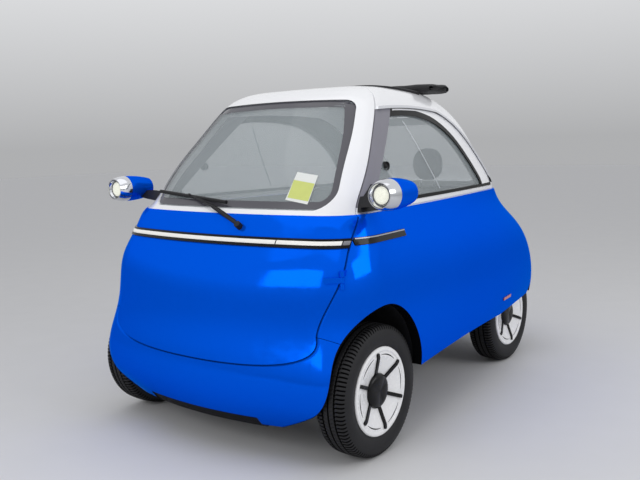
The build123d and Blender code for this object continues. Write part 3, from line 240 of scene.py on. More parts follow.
def facing_in(nt, place):
    """1 on the walls' inner faces, which carry a dark lining."""
    flat = nt.nodes.new("ShaderNodeVectorMath")
    flat.operation = "MULTIPLY"
    flat.inputs[1].default_value = (1.0, 1.0, 0.0)
    nt.links.new(place, flat.inputs[0])
    facing = nt.nodes.new("ShaderNodeVectorMath")
    facing.operation = "DOT_PRODUCT"
    nt.links.new(flat.outputs[0], facing.inputs[0])
    nt.links.new(nt.nodes.new("ShaderNodeNewGeometry").outputs["True Normal"], facing.inputs[1])
    return ramp(nt, facing.outputs["Value"], FACING_IN_FROM, FACING_IN_FULL)


# ---- finishes, one for each material slot, and those of small pieces ----
LINER_BLACK = (0.008, 0.008, 0.009)
LINING_GREY = (0.055, 0.057, 0.062)
RUBBER_BLACK = (0.004, 0.004, 0.004)
BLUE_PAINT = dict(colour=(0.0005, 0.104, 0.82), rough=0.11, metallic=0.5, vary=0.03,
                  vary_scale=2.5, bump=0.02, bump_scale=180.0, gloss_level=0.0,
                  gloss_tint=(0.01, 0.50, 1.0))
FINISHES = {
    "blue_paint": dict(BLUE_PAINT,
                       masked=((LINING_GREY, facing_in), (LINER_BLACK, in_wheel_arch))),
    "white_paint": dict(colour=(0.90, 0.905, 0.93), rough=0.20, coat=0.5, vary=0.015,
                        bump=0.02, bump_scale=180.0),
    "grey_frame": dict(colour=(0.25, 0.245, 0.28), rough=0.34, bump=0.03, gloss_level=0.10,
                       masked=((RUBBER_BLACK, behind_front_post),)),
    "black_plastic": dict(colour=(0.013, 0.013, 0.015), rough=0.50, vary=0.18, vary_scale=14.0,
                          bump=0.35, bump_scale=900.0, gloss_level=0.20),
    "black_gloss": dict(colour=(0.004, 0.004, 0.005), rough=0.12, vary=0.10, bump=0.02,
                        gloss_level=0.22),
    "light_strip": dict(colour=(0.004, 0.004, 0.005), rough=0.12, vary=0.10, bump=0.02,
                        gloss_level=0.15),
    # The glass's grey-blue colour at partial alpha: a faint tint, and its lightness a painted reflection of the
    # sky.
    "clear_glass": dict(colour=(0.54, 0.61, 0.64), rough=0.03, coat=0.6, alpha=0.30, vary=0.02,
                        rough_vary=0.01),
    "lamp_lens": dict(colour=(0.80, 0.84, 0.88), rough=0.04, coat=1.0, alpha=0.10, vary=0.02,
                      rough_vary=0.01),
    "bright_trim": dict(colour=(0.70, 0.71, 0.74), rough=0.08, metallic=1.0, vary=0.03,
                        bump=0.02, bump_scale=60.0),
    "mirror_glass": dict(colour=(0.88, 0.89, 0.90), rough=0.03, metallic=1.0, vary=0.01,
                         rough_vary=0.01),
    "red_lens": dict(colour=(0.50, 0.010, 0.014), rough=0.16, coat=0.8, vary=0.12,
                     vary_scale=60.0, bump=0.5, bump_scale=260.0),
    "roof_fabric": dict(colour=(0.010, 0.010, 0.012), rough=0.60, vary=0.25, vary_scale=10.0,
                        weave=420.0, sheen=0.12, gloss_level=0.35),
    "seat_fabric": dict(colour=(0.030, 0.031, 0.034), rough=0.82, vary=0.16, vary_scale=18.0,
                        weave=300.0, sheen=0.25),
    "steel": dict(colour=(0.16, 0.165, 0.17), rough=0.42, metallic=0.9, vary=0.15,
                  vary_scale=12.0, bump=0.2),
    "battery_case": dict(colour=(0.42, 0.43, 0.45), rough=0.45, metallic=0.8, vary=0.08,
                         bump=0.25),
    "tyre": dict(colour=(0.014, 0.014, 0.016), rough=0.62, vary=0.22, vary_scale=22.0,
                 bump=0.35, bump_scale=700.0, gloss_level=0.3),
    "white_cover": dict(colour=(0.93, 0.93, 0.94), rough=0.26, coat=0.3, vary=0.02, bump=0.03),
    "spider_black": dict(colour=(0.005, 0.005, 0.006), rough=0.24, vary=0.15, bump=0.05,
                         gloss_level=0.22),
}
finish = {slot: surface(slot, **made) for slot, made in FINISHES.items()}
led_lens = surface("led_lens", (0.84, 0.83, 0.79), 0.22, coat=0.3, vary=0.03, vary_scale=40.0,
                   glow=0.12)
lamp_glow = surface("lamp_glow", (0.88, 0.88, 0.74), 0.25, vary=0.16, vary_scale=160.0,
                    glow=0.35)
lamp_ring = surface("lamp_ring", (0.035, 0.036, 0.040), 0.20, metallic=0.6, vary=0.10)
glass_border = surface("glass_border", (0.075, 0.073, 0.088), 0.20, vary=0.08)
pane_line = surface("pane_line", (0.62, 0.66, 0.70), 0.20, vary=0.04)
slip_card = surface("slip_card", (0.82, 0.84, 0.82), 0.55, vary=0.04, vary_scale=30.0,
                    bump=0.05)
slip_panel = surface("slip_panel", (0.64, 0.70, 0.20), 0.55, vary_scale=30.0, bump=0.05)
pod_blue = surface("pod_blue", **BLUE_PAINT)
# Near-black for faces deep in the tyre's grooves: painted shade in the tread's recesses.
painted_groove_shade = surface("painted_groove_shade", (0.0015, 0.0015, 0.0015), 0.9, vary=0.1, bump=0.2,
                       gloss_level=0.05)
# Grey for the painted highlight along the side badges' upper edges.
badge_edge_highlight = surface("badge_edge_highlight", (0.40, 0.40, 0.44), 0.25, metallic=0.3)
end_cap_grey = surface("end_cap_grey", (0.20, 0.20, 0.22), 0.25, coat=0.5, vary=0.06)


def dress_nodes():
    """Gives each node its slot's finish. The pods' blue has no masks, because facing_in
    would darken half of each round pod."""
    for name, obj in nodes.items():
        obj.data.materials.clear()
        obj.data.materials.append(pod_blue if name == "pod_housings" else finish[node_slot[name]])


# ---- making pieces ----
def piece(name, verts, faces, material, body, smooth=True):
    mesh = bpy.data.meshes.new(name)
    mesh.from_pydata([tuple(v) for v in verts], [], faces)
    mesh.validate()
    mesh.materials.append(material)
    for polygon in mesh.polygons:
        polygon.use_smooth = smooth
    obj = bpy.data.objects.new(name, mesh)
    scene.collection.objects.link(obj)
    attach(obj, body)
    return obj


def grid_faces(rows, columns, close_rows=False, close_columns=False):
    faces = []
    for i in range(rows if close_rows else rows - 1):
        for j in range(columns if close_columns else columns - 1):
            a, b = i * columns + j, i * columns + (j + 1) % columns
            c, d = ((i + 1) % rows) * columns + (j + 1) % columns, ((i + 1) % rows) * columns + j
            faces.append((a, b, c, d))
    return faces


def around(count):
    """Angles at even steps round a circle."""
    return [2 * math.pi * i / count for i in range(count)]


def arc_points(a, b, c, count):
    """Points on the arc from a through b to c, in a plane."""
    (ax, ay), (bx, by), (cx, cy) = a, b, c
    far_a, far_b, far_c = ax**2 + ay**2, bx**2 + by**2, cx**2 + cy**2
    d = 2 * (ax * (by - cy) + bx * (cy - ay) + cx * (ay - by))
    ux = (far_a * (by - cy) + far_b * (cy - ay) + far_c * (ay - by)) / d
    uy = (far_a * (cx - bx) + far_b * (ax - cx) + far_c * (bx - ax)) / d
    radius = math.hypot(ax - ux, ay - uy)
    start, middle, end = (math.atan2(y - uy, x - ux) for x, y in (a, b, c))
    turn = (end - start) % (2 * math.pi)
    if (middle - start) % (2 * math.pi) > turn:
        turn -= 2 * math.pi
    return [(ux + radius * math.cos(start + turn * i / count),
             uy + radius * math.sin(start + turn * i / count)) for i in range(count + 1)]


def rod(name, start, end, radius, material, body, count=20):
    """Bar with rounded ends."""
    a, b = Vector(start), Vector(end)
    along = (b - a).normalized()
    side = along.orthogonal().normalized()
    up = along.cross(side)
    turns = [math.radians(v) for v in (30, 60, 90)]
    rings = [(a, 0.0)]
    rings += [(a + along * radius * (1 - math.cos(t)), radius * math.sin(t)) for t in turns]
    rings += [(b - along * radius * (1 - math.cos(t)), radius * math.sin(t)) for t in turns[::-1]]
    rings += [(b, 0.0)]
    verts = []
    for middle, r in rings:
        for angle in around(count):
            verts.append(middle + (side * math.cos(angle) + up * math.sin(angle)) * max(r, 1e-4))
    piece(name, verts, grid_faces(len(rings), count, False, True), material, body)


# ---- laying trim on the CAD's surfaces ----
RAY_START = 3.0  # outside the car on every side


def node_tree(name):
    mesh = nodes[name].data
    return BVHTree.FromPolygons([v.co.copy() for v in mesh.vertices],
                                [tuple(p.vertices) for p in mesh.polygons])


def laid_on(tree, start, direction, proud):
    """Where a ray meets the solid, raised off it by proud, or None where it misses."""
    hit, normal, _, _ = tree.ray_cast(Vector(start), Vector(direction))
    if hit is None:
        return None
    if normal.dot(Vector(direction)) > 0:
        normal = -normal
    return hit + normal * proud


def on_front(tree, x, z, proud):
    return laid_on(tree, (x, -RAY_START, z), (0, 1, 0), proud)


def on_side(tree, side, y, z, proud):
    return laid_on(tree, (side * RAY_START, y, z), (-side, 0, 0), proud)


# ---- tyres with their tread, in millimetres up to make_tyre ----
TREAD_PITCHES = 100
STEPS_A_PITCH = 5
TREAD_START = 243
SHOULDER_TOP = 252
GROOVE_PLACES, GROOVE_HALF, GROOVE_DEPTH = (0, 27), 2.6, 7.0
SLOT_FROM, SLOT_DEPTH, SLOT_FOOT_DEPTH, SLOT_SLANT = 30, 6.5, 3.0, 0.006
SIPE_FROM, SIPE_TO, SIPE_DEPTH, SIPE_SLANT = 5, 24, 4.0, 0.02
CUT_SHARE = 0.2  # of a pitch, for a slot or a sipe
RIDGES, RIDGE_HEIGHT = ((176, 179), (226, 228)), 0.6
GROOVE_SHADE_FROM = 9.0  # depths of a face's four corners added up, from which the face gets the painted groove shade


def tyre_profile():
    """Half width and radius round the tyre's section, from the CAD outline."""
    bead, widest = (51.5, 168), (72.5, 213.25)
    shoulder_foot, shoulder_middle, shoulder_top = (64.5, 248.5), (60.5, 257.5), (50.5, 263.5)
    top = (0, 266.5)
    side = arc_points(bead, widest, shoulder_foot, 14)
    shoulder = arc_points(shoulder_foot, shoulder_middle, shoulder_top, 6)
    crown = arc_points(shoulder_top, top, (-shoulder_top[0], shoulder_top[1]), 26)
    right = side + shoulder[1:] + crown[1:-1]
    return right + [(-x, r) for x, r in reversed(side + shoulder[1:])]


def tread_depth(x, radius, phase):
    """Grooves round the tyre, slots across its shoulders and sipes between the grooves."""
    if radius < TREAD_START:
        return 0.0
    across = abs(x)
    if min(abs(across - place) for place in GROOVE_PLACES) < GROOVE_HALF:
        return GROOVE_DEPTH
    slot_phase = (phase + (0.5 if x < 0 else 0.0) + across * SLOT_SLANT) % 1.0
    if across > SLOT_FROM and slot_phase < CUT_SHARE:
        return SLOT_DEPTH if radius > SHOULDER_TOP else SLOT_FOOT_DEPTH
    if SIPE_FROM < across < SIPE_TO and (phase + across * SIPE_SLANT) % 1.0 < CUT_SHARE:
        return SIPE_DEPTH
    return 0.0


def make_tyre(name, side, x, y):
    profile = tyre_profile()
    count = TREAD_PITCHES * STEPS_A_PITCH
    verts, deep = [], []
    for i, angle in enumerate(around(count)):
        for across, radius in profile:
            ridge = RIDGE_HEIGHT * any(low < radius < high for low, high in RIDGES)
            depth = tread_depth(across, radius, i / STEPS_A_PITCH % 1.0)
            r = (radius - depth) / 1000
            out = (across + math.copysign(ridge, across)) / 1000
            verts.append((side * x + out, y + r * math.cos(angle), HUB_Z + r * math.sin(angle)))
            deep.append(depth)
    obj = piece(f"tread_tyre_{name}", verts, grid_faces(count, len(profile), True, True),
                finish["tyre"], f"{name}_wheel")
    # Faces deep in the grooves take this second, near-black finish: painted shade in the recesses.
    obj.data.materials.append(painted_groove_shade)
    for polygon in obj.data.polygons:
        if sum(deep[v] for v in polygon.vertices) >= GROOVE_SHADE_FROM:
            polygon.material_index = 1
    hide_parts(f"tyre_{name}")


# ---- wheel covers: painted shade for the thin slots, the raised outer ring and the hub cap ----
SPOKES = 6
ARC_START, ARC_TURN, ARC_STEPS = math.radians(48), math.radians(40), 16
ARC_FACE, ARC_RADIUS, ARC_HALF, ARC_END_HALF = 0.0663, 0.1475, 0.0021, 0.0004
# Distance out from the wheel's middle and radius, along each section.
RING_SECTION = ((0.0640, 0.1782), (0.0672, 0.1770), (0.0690, 0.1735), (0.0692, 0.1660),
                (0.0686, 0.1610), (0.0662, 0.1590))
HUB_SECTION = ((0.0470, 0.0705), (0.0515, 0.0698), (0.0555, 0.0668), (0.0585, 0.0610),
               (0.0602, 0.0520), (0.0610, 0.0380), (0.0614, 0.0200), (0.0616, 0.0005))
LOBES, LOBE_TURN, LOBE_FLOOR = 3, math.radians(98), 0.12
LOBE_HEIGHT, LOBE_RADIUS, LOBE_SPREAD = 0.0045, 0.040, 0.020


def on_wheel(side, x, y, out, r, angle):
    """Point at radius r from a wheel's axle and out from the wheel's middle."""
    return (side * (x + out), y + r * math.cos(angle), HUB_Z + r * math.sin(angle))


def paint_slot_shade(name, side, x, y):
    """Painted shade for the thin curved slots between the spoke ends: dark strips just proud of the cover's face.
    """
    verts, faces = [], []
    for spoke in range(SPOKES):
        start = ARC_START + 2 * math.pi * spoke / SPOKES
        base = len(verts)
        for i in range(ARC_STEPS + 1):
            taper = math.sin(math.pi * (i + 0.5) / (ARC_STEPS + 1))
            width = ARC_HALF * taper + ARC_END_HALF
            angle = start + ARC_TURN * i / ARC_STEPS
            for r in (ARC_RADIUS - width, ARC_RADIUS + width):
                verts.append(on_wheel(side, x, y, ARC_FACE, r, angle))
        for i in range(ARC_STEPS):
            a = base + 2 * i
            faces.append((a, a + 1, a + 3, a + 2))
    piece(f"cover_slot_shade_{name}", verts, faces, finish["spider_black"], f"{name}_wheel",
          smooth=False)


def cover_ring(name, side, x, y):
    """Rounded outer ring of the wheel cover, with a step down to the dish."""
    count = 120
    verts = [on_wheel(side, x, y, out, r, angle)
             for angle in around(count) for out, r in RING_SECTION]
    piece(f"cover_ring_{name}", verts, grid_faces(count, len(RING_SECTION), True),
          finish["white_cover"], f"{name}_wheel")


def hub_cap(name, side, x, y):
    """Domed hub cap with three raised lobes."""
    verts, count = [], 96
    for angle in around(count):
        lobe = max(0.0, math.cos(LOBES / 2 * (angle - LOBE_TURN)) ** 2 - LOBE_FLOOR)
        for out, r in HUB_SECTION:
            rise = LOBE_HEIGHT * lobe**0.5 * math.exp(-((r - LOBE_RADIUS) / LOBE_SPREAD) ** 2)
            verts.append(on_wheel(side, x, y, out + rise, r, angle))
    piece(f"hub_cap_{name}", verts, grid_faces(count, len(HUB_SECTION), True),
          finish["spider_black"], f"{name}_wheel")


# ---- front light bar and the painted highlights on the badges' upper edges ----
BAR_Z, BAR_HALF, BAR_PROUD = 0.866, 0.0075, 0.0015
BAR_STRIPS = (
    # name, from x, to x, material, steps
    ("led_strip_long", -0.572, 0.343, led_lens, 90),
    ("led_strip_short", 0.348, 0.604, led_lens, 30),
    ("led_end_right", -0.600, -0.578, led_lens, 4),
    ("bar_end_left", 0.607, 0.625, end_cap_grey, 4))
BADGE_FRONT, BADGE_LENGTH, BADGE_STEPS = -0.960, 0.380, 60
BADGE_EDGE_Z, BADGE_PROUD = (0.8775, 0.8820), 0.0008


def make_light_bar():
    tree = node_tree("door_light_bar")
    rows = ((-BAR_HALF, 0.0), (-BAR_HALF * 0.8, BAR_PROUD), (BAR_HALF * 0.8, BAR_PROUD),
            (BAR_HALF, 0.0))
    for name, x0, x1, material, steps in BAR_STRIPS:
        verts = [on_front(tree, x0 + (x1 - x0) * i / steps, BAR_Z + z, lift)
                 for i in range(steps + 1) for z, lift in rows]
        piece(name, verts, grid_faces(steps + 1, len(rows)), material, "front_door")


def make_badge_edges():
    """Painted highlight: a grey strip along the upper edge of each side badge."""
    tree = node_tree("side_badges")
    for side, word in SIDES:
        verts = []
        for i in range(BADGE_STEPS + 1):
            y = BADGE_FRONT + BADGE_LENGTH * i / BADGE_STEPS
            pair = [on_side(tree, side, y, z, BADGE_PROUD) for z in BADGE_EDGE_Z]
            if None not in pair:
                verts += pair
        piece(f"badge_edge_{word}", verts, grid_faces(len(verts) // 2, 2), badge_edge_highlight, "body")


# ---- lamps in the side pods ----
# Radius and distance behind the pod's front face, along each outline.
BOWL_OUTLINE = ((0.0452, 0.005), (0.0415, 0.012), (0.037, 0.018))
LAMP_RING_OUTLINE = ((0.0372, 0.0165), (0.0372, 0.0140), (0.0345, 0.0132), (0.0338, 0.0160))
LIGHT_OUTLINE = ((0.0005, 0.0090), (0.012, 0.0096), (0.024, 0.0116), (0.0338, 0.0160),
                 (0.036, 0.020), (0.030, 0.024), (0.0005, 0.026))
LENS_OUTLINE = ((0.0005, 0.0020), (0.020, 0.0026), (0.036, 0.0040), (0.0455, 0.0072))


def turned(name, side, outline, material, count=72):
    """Revolves an outline about the pod's own axis."""
    verts = [(side * POD_X + r * math.cos(angle), POD_FACE_Y + back, POD_Z + r * math.sin(angle))
             for angle in around(count) for r, back in outline]
    return piece(name, verts, grid_faces(count, len(outline), True), material, "body")


def make_lamps():
    for side, word in SIDES:
        turned(f"lamp_bowl_{word}", side, BOWL_OUTLINE, finish["bright_trim"])
        turned(f"lamp_ring_{word}", side, LAMP_RING_OUTLINE, lamp_ring)
        turned(f"lamp_light_{word}", side, LIGHT_OUTLINE, lamp_glow)
        lens = turned(f"lamp_cover_{word}", side, LENS_OUTLINE, finish["lamp_lens"])
        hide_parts("headlamps")


# ---- dark border of the windscreen ----
SCREEN_FOOT_X, SCREEN_WAIST_X, SCREEN_HEAD_X = 0.520, 0.474, 0.392
SCREEN_LOW, SCREEN_WAIST_Z, SCREEN_HIGH, SCREEN_CROWN = 0.982, 1.204, 1.426, 0.008
LOW_CORNER, HIGH_CORNER, CORNER_LEAST = 0.070, 0.048, 0.02
BORDER_INSETS, BORDER_POINTS, BORDER_PROUD = (0.0035, 0.012, 0.021, 0.031), 300, 0.0006


def rounded(corner, first, second, radius, count=10):
    """Points on the fillet at a corner, from the side toward first to the one toward second."""
    corner = Vector(corner)
    a, b = (Vector(first) - corner).normalized(), (Vector(second) - corner).normalized()
    half = a.angle(b) / 2
    middle = corner + (a + b).normalized() * radius / math.sin(half)
    start = corner + a * radius / math.tan(half) - middle
    end = corner + b * radius / math.tan(half) - middle
    turn = start.angle(end)
    return [tuple(middle + (start * math.sin(turn * (1 - i / count))
                            + end * math.sin(turn * i / count)) / math.sin(turn))
            for i in range(count + 1)]


def screen_edge(inset):
    """Windscreen outline in the (x, z) view, drawn in by inset, as a closed ring of points."""
    foot, waist, head = (x - inset for x in (SCREEN_FOOT_X, SCREEN_WAIST_X, SCREEN_HEAD_X))
    low, high = SCREEN_LOW + inset, SCREEN_HIGH - inset
    side = arc_points((foot, low), (waist, SCREEN_WAIST_Z), (head, high), 60)
    top = arc_points((head, high), (0, high + SCREEN_CROWN), (-head, high), 60)
    corner_low = rounded(side[0], (0, low), side[6], max(CORNER_LEAST, LOW_CORNER - inset))
    corner_high = rounded(side[-1], side[-5], top[6], max(CORNER_LEAST, HIGH_CORNER - inset))
    edge = [q for q in side if corner_low[-1][1] < q[1] < corner_high[0][1]]
    half = corner_low + edge + corner_high
    over = [q for q in top if abs(q[0]) < corner_high[-1][0]]
    under = [(-corner_low[0][0] + 2 * corner_low[0][0] * i / 48, low) for i in range(1, 48)]
    return half + over + [(-px, pz) for px, pz in reversed(half)] + under


def along_ring(ring, count):
    """count points at even shares of the ring's length."""
    lengths = [0.0]
    for a, b in zip(ring, ring[1:] + ring[:1]):
        lengths.append(lengths[-1] + math.dist(a, b))
    points, k = [], 0
    for i in range(count):
        want = lengths[-1] * i / count
        while lengths[k + 1] < want:
            k += 1
        step = (want - lengths[k]) / max(lengths[k + 1] - lengths[k], 1e-9)
        (x0, z0), (x1, z1) = ring[k], ring[(k + 1) % len(ring)]
        points.append((x0 + (x1 - x0) * step, z0 + (z1 - z0) * step))
    return points


def make_screen_border():
    tree = node_tree("windscreen")
    rings = [along_ring(screen_edge(inset), BORDER_POINTS) for inset in BORDER_INSETS]
    verts = []
    for i in range(BORDER_POINTS):
        for ring in rings:
            spot = on_front(tree, ring[i][0], ring[i][1], BORDER_PROUD)
            verts.append(spot if spot is not None else verts[-1])
    piece("screen_border", verts, grid_faces(BORDER_POINTS, len(rings), True), glass_border,
          "front_door")


# ---- blank paper slip at the windscreen's lower corner, laid on the glass's outer face ----
SLIP_STEPS = 8
SLIP_PARTS = (
    # name, corners (x, z) from the lower inner one round, material, proud
    ("paper_slip", ((0.290, 1.020), (0.403, 1.004), (0.399, 1.115), (0.296, 1.129)),
     slip_card, 0.0008),
    ("paper_slip_panel", ((0.296, 1.029), (0.400, 1.015), (0.3985, 1.083), (0.2945, 1.098)),
     slip_panel, 0.0012))


def in_patch(corners, u, v):
    """Point at shares u and v across a patch with four corners."""
    shares = ((1 - u) * (1 - v), u * (1 - v), u * v, (1 - u) * v)
    return (sum(w * x for w, (x, z) in zip(shares, corners)),
            sum(w * z for w, (x, z) in zip(shares, corners)))


def make_slip():
    tree = node_tree("windscreen")
    for name, corners, material, proud in SLIP_PARTS:
        verts = []
        for i in range(SLIP_STEPS + 1):
            for j in range(SLIP_STEPS + 1):
                x, z = in_patch(corners, i / SLIP_STEPS, j / SLIP_STEPS)
                verts.append(on_front(tree, x, z, proud))
        piece(name, verts, grid_faces(SLIP_STEPS + 1, SLIP_STEPS + 1), material, "front_door")


# ---- seats ----
PAD_STEPS = 40
PAD_WAIST = 0.025  # share of its width that a pad's sides pull in between its corners
SEAM_DEPTH, SEAM_WIDTH = 0.007, 0.006
EDGE_SEAM_AT, EDGE_SEAM_DEPTH = 0.88, 0.006
SEAT_SEAMS = (-0.06, 0.06)
SEAT_PADS = (
    # name, node, centre, half sizes, lean in degrees, crown, seams, squareness
    ("seat_cushion", "seat_base", (0.200, 0.030, 0.400), (0.194, 0.214, 0.066), -3, 0.010,
     SEAT_SEAMS, 7.0),
    ("seat_squab", "seat_back", (0.200, 0.343, 0.715), (0.194, 0.262, 0.046), 81.5, 0.010,
     SEAT_SEAMS, 7.0),
    ("head_rest", "headrests", (0.205, 0.370, 1.115), (0.090, 0.086, 0.034), 90, 0.0, (), 2.3))
REST_X, REST_Y, REST_LOW, REST_HIGH, REST_RADIUS = 0.205, 0.370, 0.975, 1.045, 0.006
REST_POSTS = (("a", -0.04), ("b", 0.04))


def cushion(name, node, centre, half, lean, crown, seams, power):
    """Padded form: rounded box, crowned on top, with sewn channels pressed into it."""
    verts, faces, seen = [], [], {}
    turn = Matrix.Rotation(lean, 3, "X")

    def channel(offset, depth, up):
        return depth * math.exp(-(offset / SEAM_WIDTH) ** 2) * max(0, up)

    def vertex(p):
        key = tuple(round(c, 6) for c in p)
        if key not in seen:
            size = sum(abs(c) ** power for c in p) ** (1 / power)
            q = Vector([c / size for c in p])
            belly = (1 - q.x**2) * (1 - q.y**2)
            local = Vector((q.x * half[0], q.y * half[1], q.z * half[2]))
            local.x *= 1 - PAD_WAIST * (1 - q.z**2) * (1 - q.y**2)
            local.z += crown * belly * q.z
            for at in seams:
                local.z -= channel(q.x * half[0] - at, SEAM_DEPTH, q.z)
            local.z -= channel((abs(q.x) - EDGE_SEAM_AT) * half[0], EDGE_SEAM_DEPTH, q.z)
            seen[key] = len(verts)
            verts.append(turn @ local + Vector(centre))
        return seen[key]

    for axis in range(3):
        for sign in (-1, 1):
            for i in range(PAD_STEPS):
                for j in range(PAD_STEPS):
                    corner = []
                    for di, dj in ((0, 0), (1, 0), (1, 1), (0, 1)):
                        p = [0.0, 0.0, 0.0]
                        p[axis] = float(sign)
                        p[(axis + 1) % 3] = -1 + 2 * (i + di) / PAD_STEPS
                        p[(axis + 2) % 3] = -1 + 2 * (j + dj) / PAD_STEPS
                        corner.append(vertex(p))
                    faces.append(corner if sign > 0 else corner[::-1])
    obj = piece(name, verts, faces, finish["seat_fabric"], "body")
    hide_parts(node)


def make_seats():
    for side, word in SIDES:
        for name, node, (x, y, z), half, lean, crown, seams, power in SEAT_PADS:
            cushion(f"{name}_{word}", node, (side * x, y, z), half, math.radians(lean), crown,
                    seams, power)
        for letter, aside in REST_POSTS:
            x = side * REST_X + aside
            rod(f"rest_post_{word}_{letter}", (x, REST_Y, REST_LOW), (x, REST_Y, REST_HIGH),
                REST_RADIUS, finish["bright_trim"], "body")


# ---- folded fabric roof ----
FOLD_FRONT, FOLD_BACK, FOLD_LOW, FOLD_HIGH = 0.164, 0.336, 1.4850, 1.5260
FOLD_LIFT = 0.0015  # how much the outer run rises to the back
FOLD_TAIL = 0.030
INNER_START, INNER_FRONT, INNER_BACK, INNER_END = 0.020, 0.014, 0.010, 0.012
CLOTH_HALF, CLOTH_COLUMNS, CLOTH_THICK = 0.342, 72, 0.0030
CLOTH_MIDDLE_Z, CLOTH_CLEAR = 1.5045, 0.0022
HEM_FROM, HEM_SQUEEZE = 0.955, 0.70
RIPPLE_HEIGHT, RIPPLE_ACROSS, RIPPLE_ALONG, RIPPLE_STEP = 0.0009, 17, 55, 0.05
ABOVE_ROOF = 1.60


def fold_line():
    """Side view of the folded cloth: three inner runs, then one run wrapped round them."""
    front, back, low, high = FOLD_FRONT, FOLD_BACK, FOLD_LOW, FOLD_HIGH
    gap = (high - low) / 4
    line = []

    def run(y0, y1, z0, z1, count=16):
        for i in range(count + 1):
            u = i / count
            line.append((y0 + (y1 - y0) * u, z0 + (z1 - z0) * u))

    def turn(y, z, radius, out, rise, count=8):
        """Half circle at a fold's end, from z to z + rise * 2 * radius."""
        for i in range(1, count):
            angle = math.pi * i / count
            line.append((y + out * radius * math.sin(angle),
                         z + rise * radius * (1 - math.cos(angle))))

    run(front + INNER_START, back - INNER_BACK, high - gap, high - gap)
    turn(back - INNER_BACK, high - gap, gap / 2, 1, -1)
    run(back - INNER_BACK, front + INNER_FRONT, high - 2 * gap, high - 2 * gap)
    turn(front + INNER_FRONT, high - 2 * gap, gap / 2, -1, -1)
    run(front + INNER_FRONT, back - INNER_END, high - 3 * gap, high - 3 * gap)
    turn(back - INNER_END, high - 3 * gap, gap / 2, 1, -1)
    run(back - INNER_END, front, low, low)
    turn(front, low, (high - low) / 2, -1, 1)
    run(front, back, high, high + FOLD_LIFT)
    turn(back, high + FOLD_LIFT, (high - low) / 2, 1, -1)
    run(back, back - FOLD_TAIL, low + FOLD_LIFT, low + FOLD_LIFT, 4)
    return line


def make_folded_roof():
    """One sheet laid back and forth, its last run wrapped over the top and both ends."""
    roof = node_tree("roof_shell")
    line = fold_line()
    half = CLOTH_HALF
    verts = []
    for k, (y, z) in enumerate(line):
        for j in range(CLOTH_COLUMNS + 1):
            u = -1 + 2 * j / CLOTH_COLUMNS
            close = max(0.0, (abs(u) - HEM_FROM) / (1 - HEM_FROM))
            squeeze = math.sqrt(1 - HEM_SQUEEZE * close * close)
            ripple = RIPPLE_HEIGHT * math.sin(u * RIPPLE_ACROSS + y * RIPPLE_ALONG
                                              + k * RIPPLE_STEP)
            height = CLOTH_MIDDLE_Z + (z - CLOTH_MIDDLE_Z) * squeeze + ripple
            place = Vector((half * u, y, height))
            above = Vector((place.x, place.y, ABOVE_ROOF))
            below, _, _, _ = roof.ray_cast(above, Vector((0, 0, -1)))
            if below is not None:
                place.z = max(place.z, below.z + CLOTH_CLEAR)
            verts.append(place)
    obj = piece("roof_cloth", verts, grid_faces(len(line), CLOTH_COLUMNS + 1),
                finish["roof_fabric"], "body")
    thick = obj.modifiers.new("thick", "SOLIDIFY")
    thick.thickness = CLOTH_THICK
    thick.offset = 0.0
    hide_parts("folded_roof")


# ---- side windows: frame cap, pane line and knob ----
CAP_CENTRE_Y, CAP_CENTRE_Z = -0.250, 0.996
CAP_START, CAP_TURN, CAP_STEPS = 112, 111.4, 140  # degrees, degrees, steps
CAP_REACH_FROM, CAP_REACH_STEP, CAP_REACH_STEPS = 0.16, 0.004, 212
CAP_BEHIND_POST = 0.008
CAP_JUMP = 0.012  # past such a step, at the frame's corner, the inner edge runs on straight
CAP_INNER, CAP_LEAST, CAP_EDGE, CAP_INNER_STEP = 0.030, 0.009, 0.0015, 0.002
CAP_LIFTS = (0.0003, 0.0014, 0.0014, 0.0014, 0.0003)
PANE_TOP_Y, PANE_TOP_Z, PANE_RUN, PANE_DROP = -0.300, 1.335, 0.215, 0.318
PANE_HALF, PANE_PROUD, PANE_STEPS = 0.0035, 0.0008, 30
KNOB_Y, KNOB_Z, KNOB_RADIUS, KNOB_IN, KNOB_OUT = -0.580, 1.142, 0.019, 0.010, 0.007


def frame_cap(tree, side, word):
    """White cap over the outer part of the side window's frame, leaving its rubber bare."""
    def hit(angle, r, proud=0.0):
        return on_side(tree, side, CAP_CENTRE_Y + r * math.cos(angle),
                       CAP_CENTRE_Z + r * math.sin(angle), proud)

    def smooth(values):
        spans = [values[max(0, i - 3):i + 4] for i in range(len(values))]
        return [sum(span) / len(span) for span in spans]

    tries = [CAP_REACH_FROM + CAP_REACH_STEP * k for k in range(CAP_REACH_STEPS)]
    angles, inner, outer = [], [], []
    for i in range(CAP_STEPS + 1):
        angle = math.radians(CAP_START - CAP_TURN * i / CAP_STEPS)
        low = [r for r in tries if hit(angle, r) is not None][-1]
        high = low + CAP_REACH_STEP
        for _ in range(5):
            middle = (low + high) / 2
            low, high = (middle, high) if hit(angle, middle) is not None else (low, middle)
        near = low
        while hit(angle, near - CAP_INNER_STEP) is not None and near > CAP_REACH_FROM:
            near -= CAP_INNER_STEP
        if len(inner) > 1 and abs(near - inner[-1]) > CAP_JUMP:
            near = 2 * inner[-1] - inner[-2]
        y, z = CAP_CENTRE_Y + low * math.cos(angle), CAP_CENTRE_Z + low * math.sin(angle)
        if y - POST_LEAN * z < POST_EDGE + CAP_BEHIND_POST:
            continue
        angles.append(angle)
        outer.append(low)
        inner.append(near)
    verts = []
    for angle, near, far in zip(angles, smooth(inner), smooth(outer)):
        start = min(near + CAP_INNER, far - CAP_LEAST)
        verts += [hit(angle, start + (far - CAP_EDGE - start) * j / 4, lift)
                  for j, lift in enumerate(CAP_LIFTS)]
    piece(f"frame_cap_{word}", verts, grid_faces(len(angles), len(CAP_LIFTS)),
          finish["white_paint"], "body")


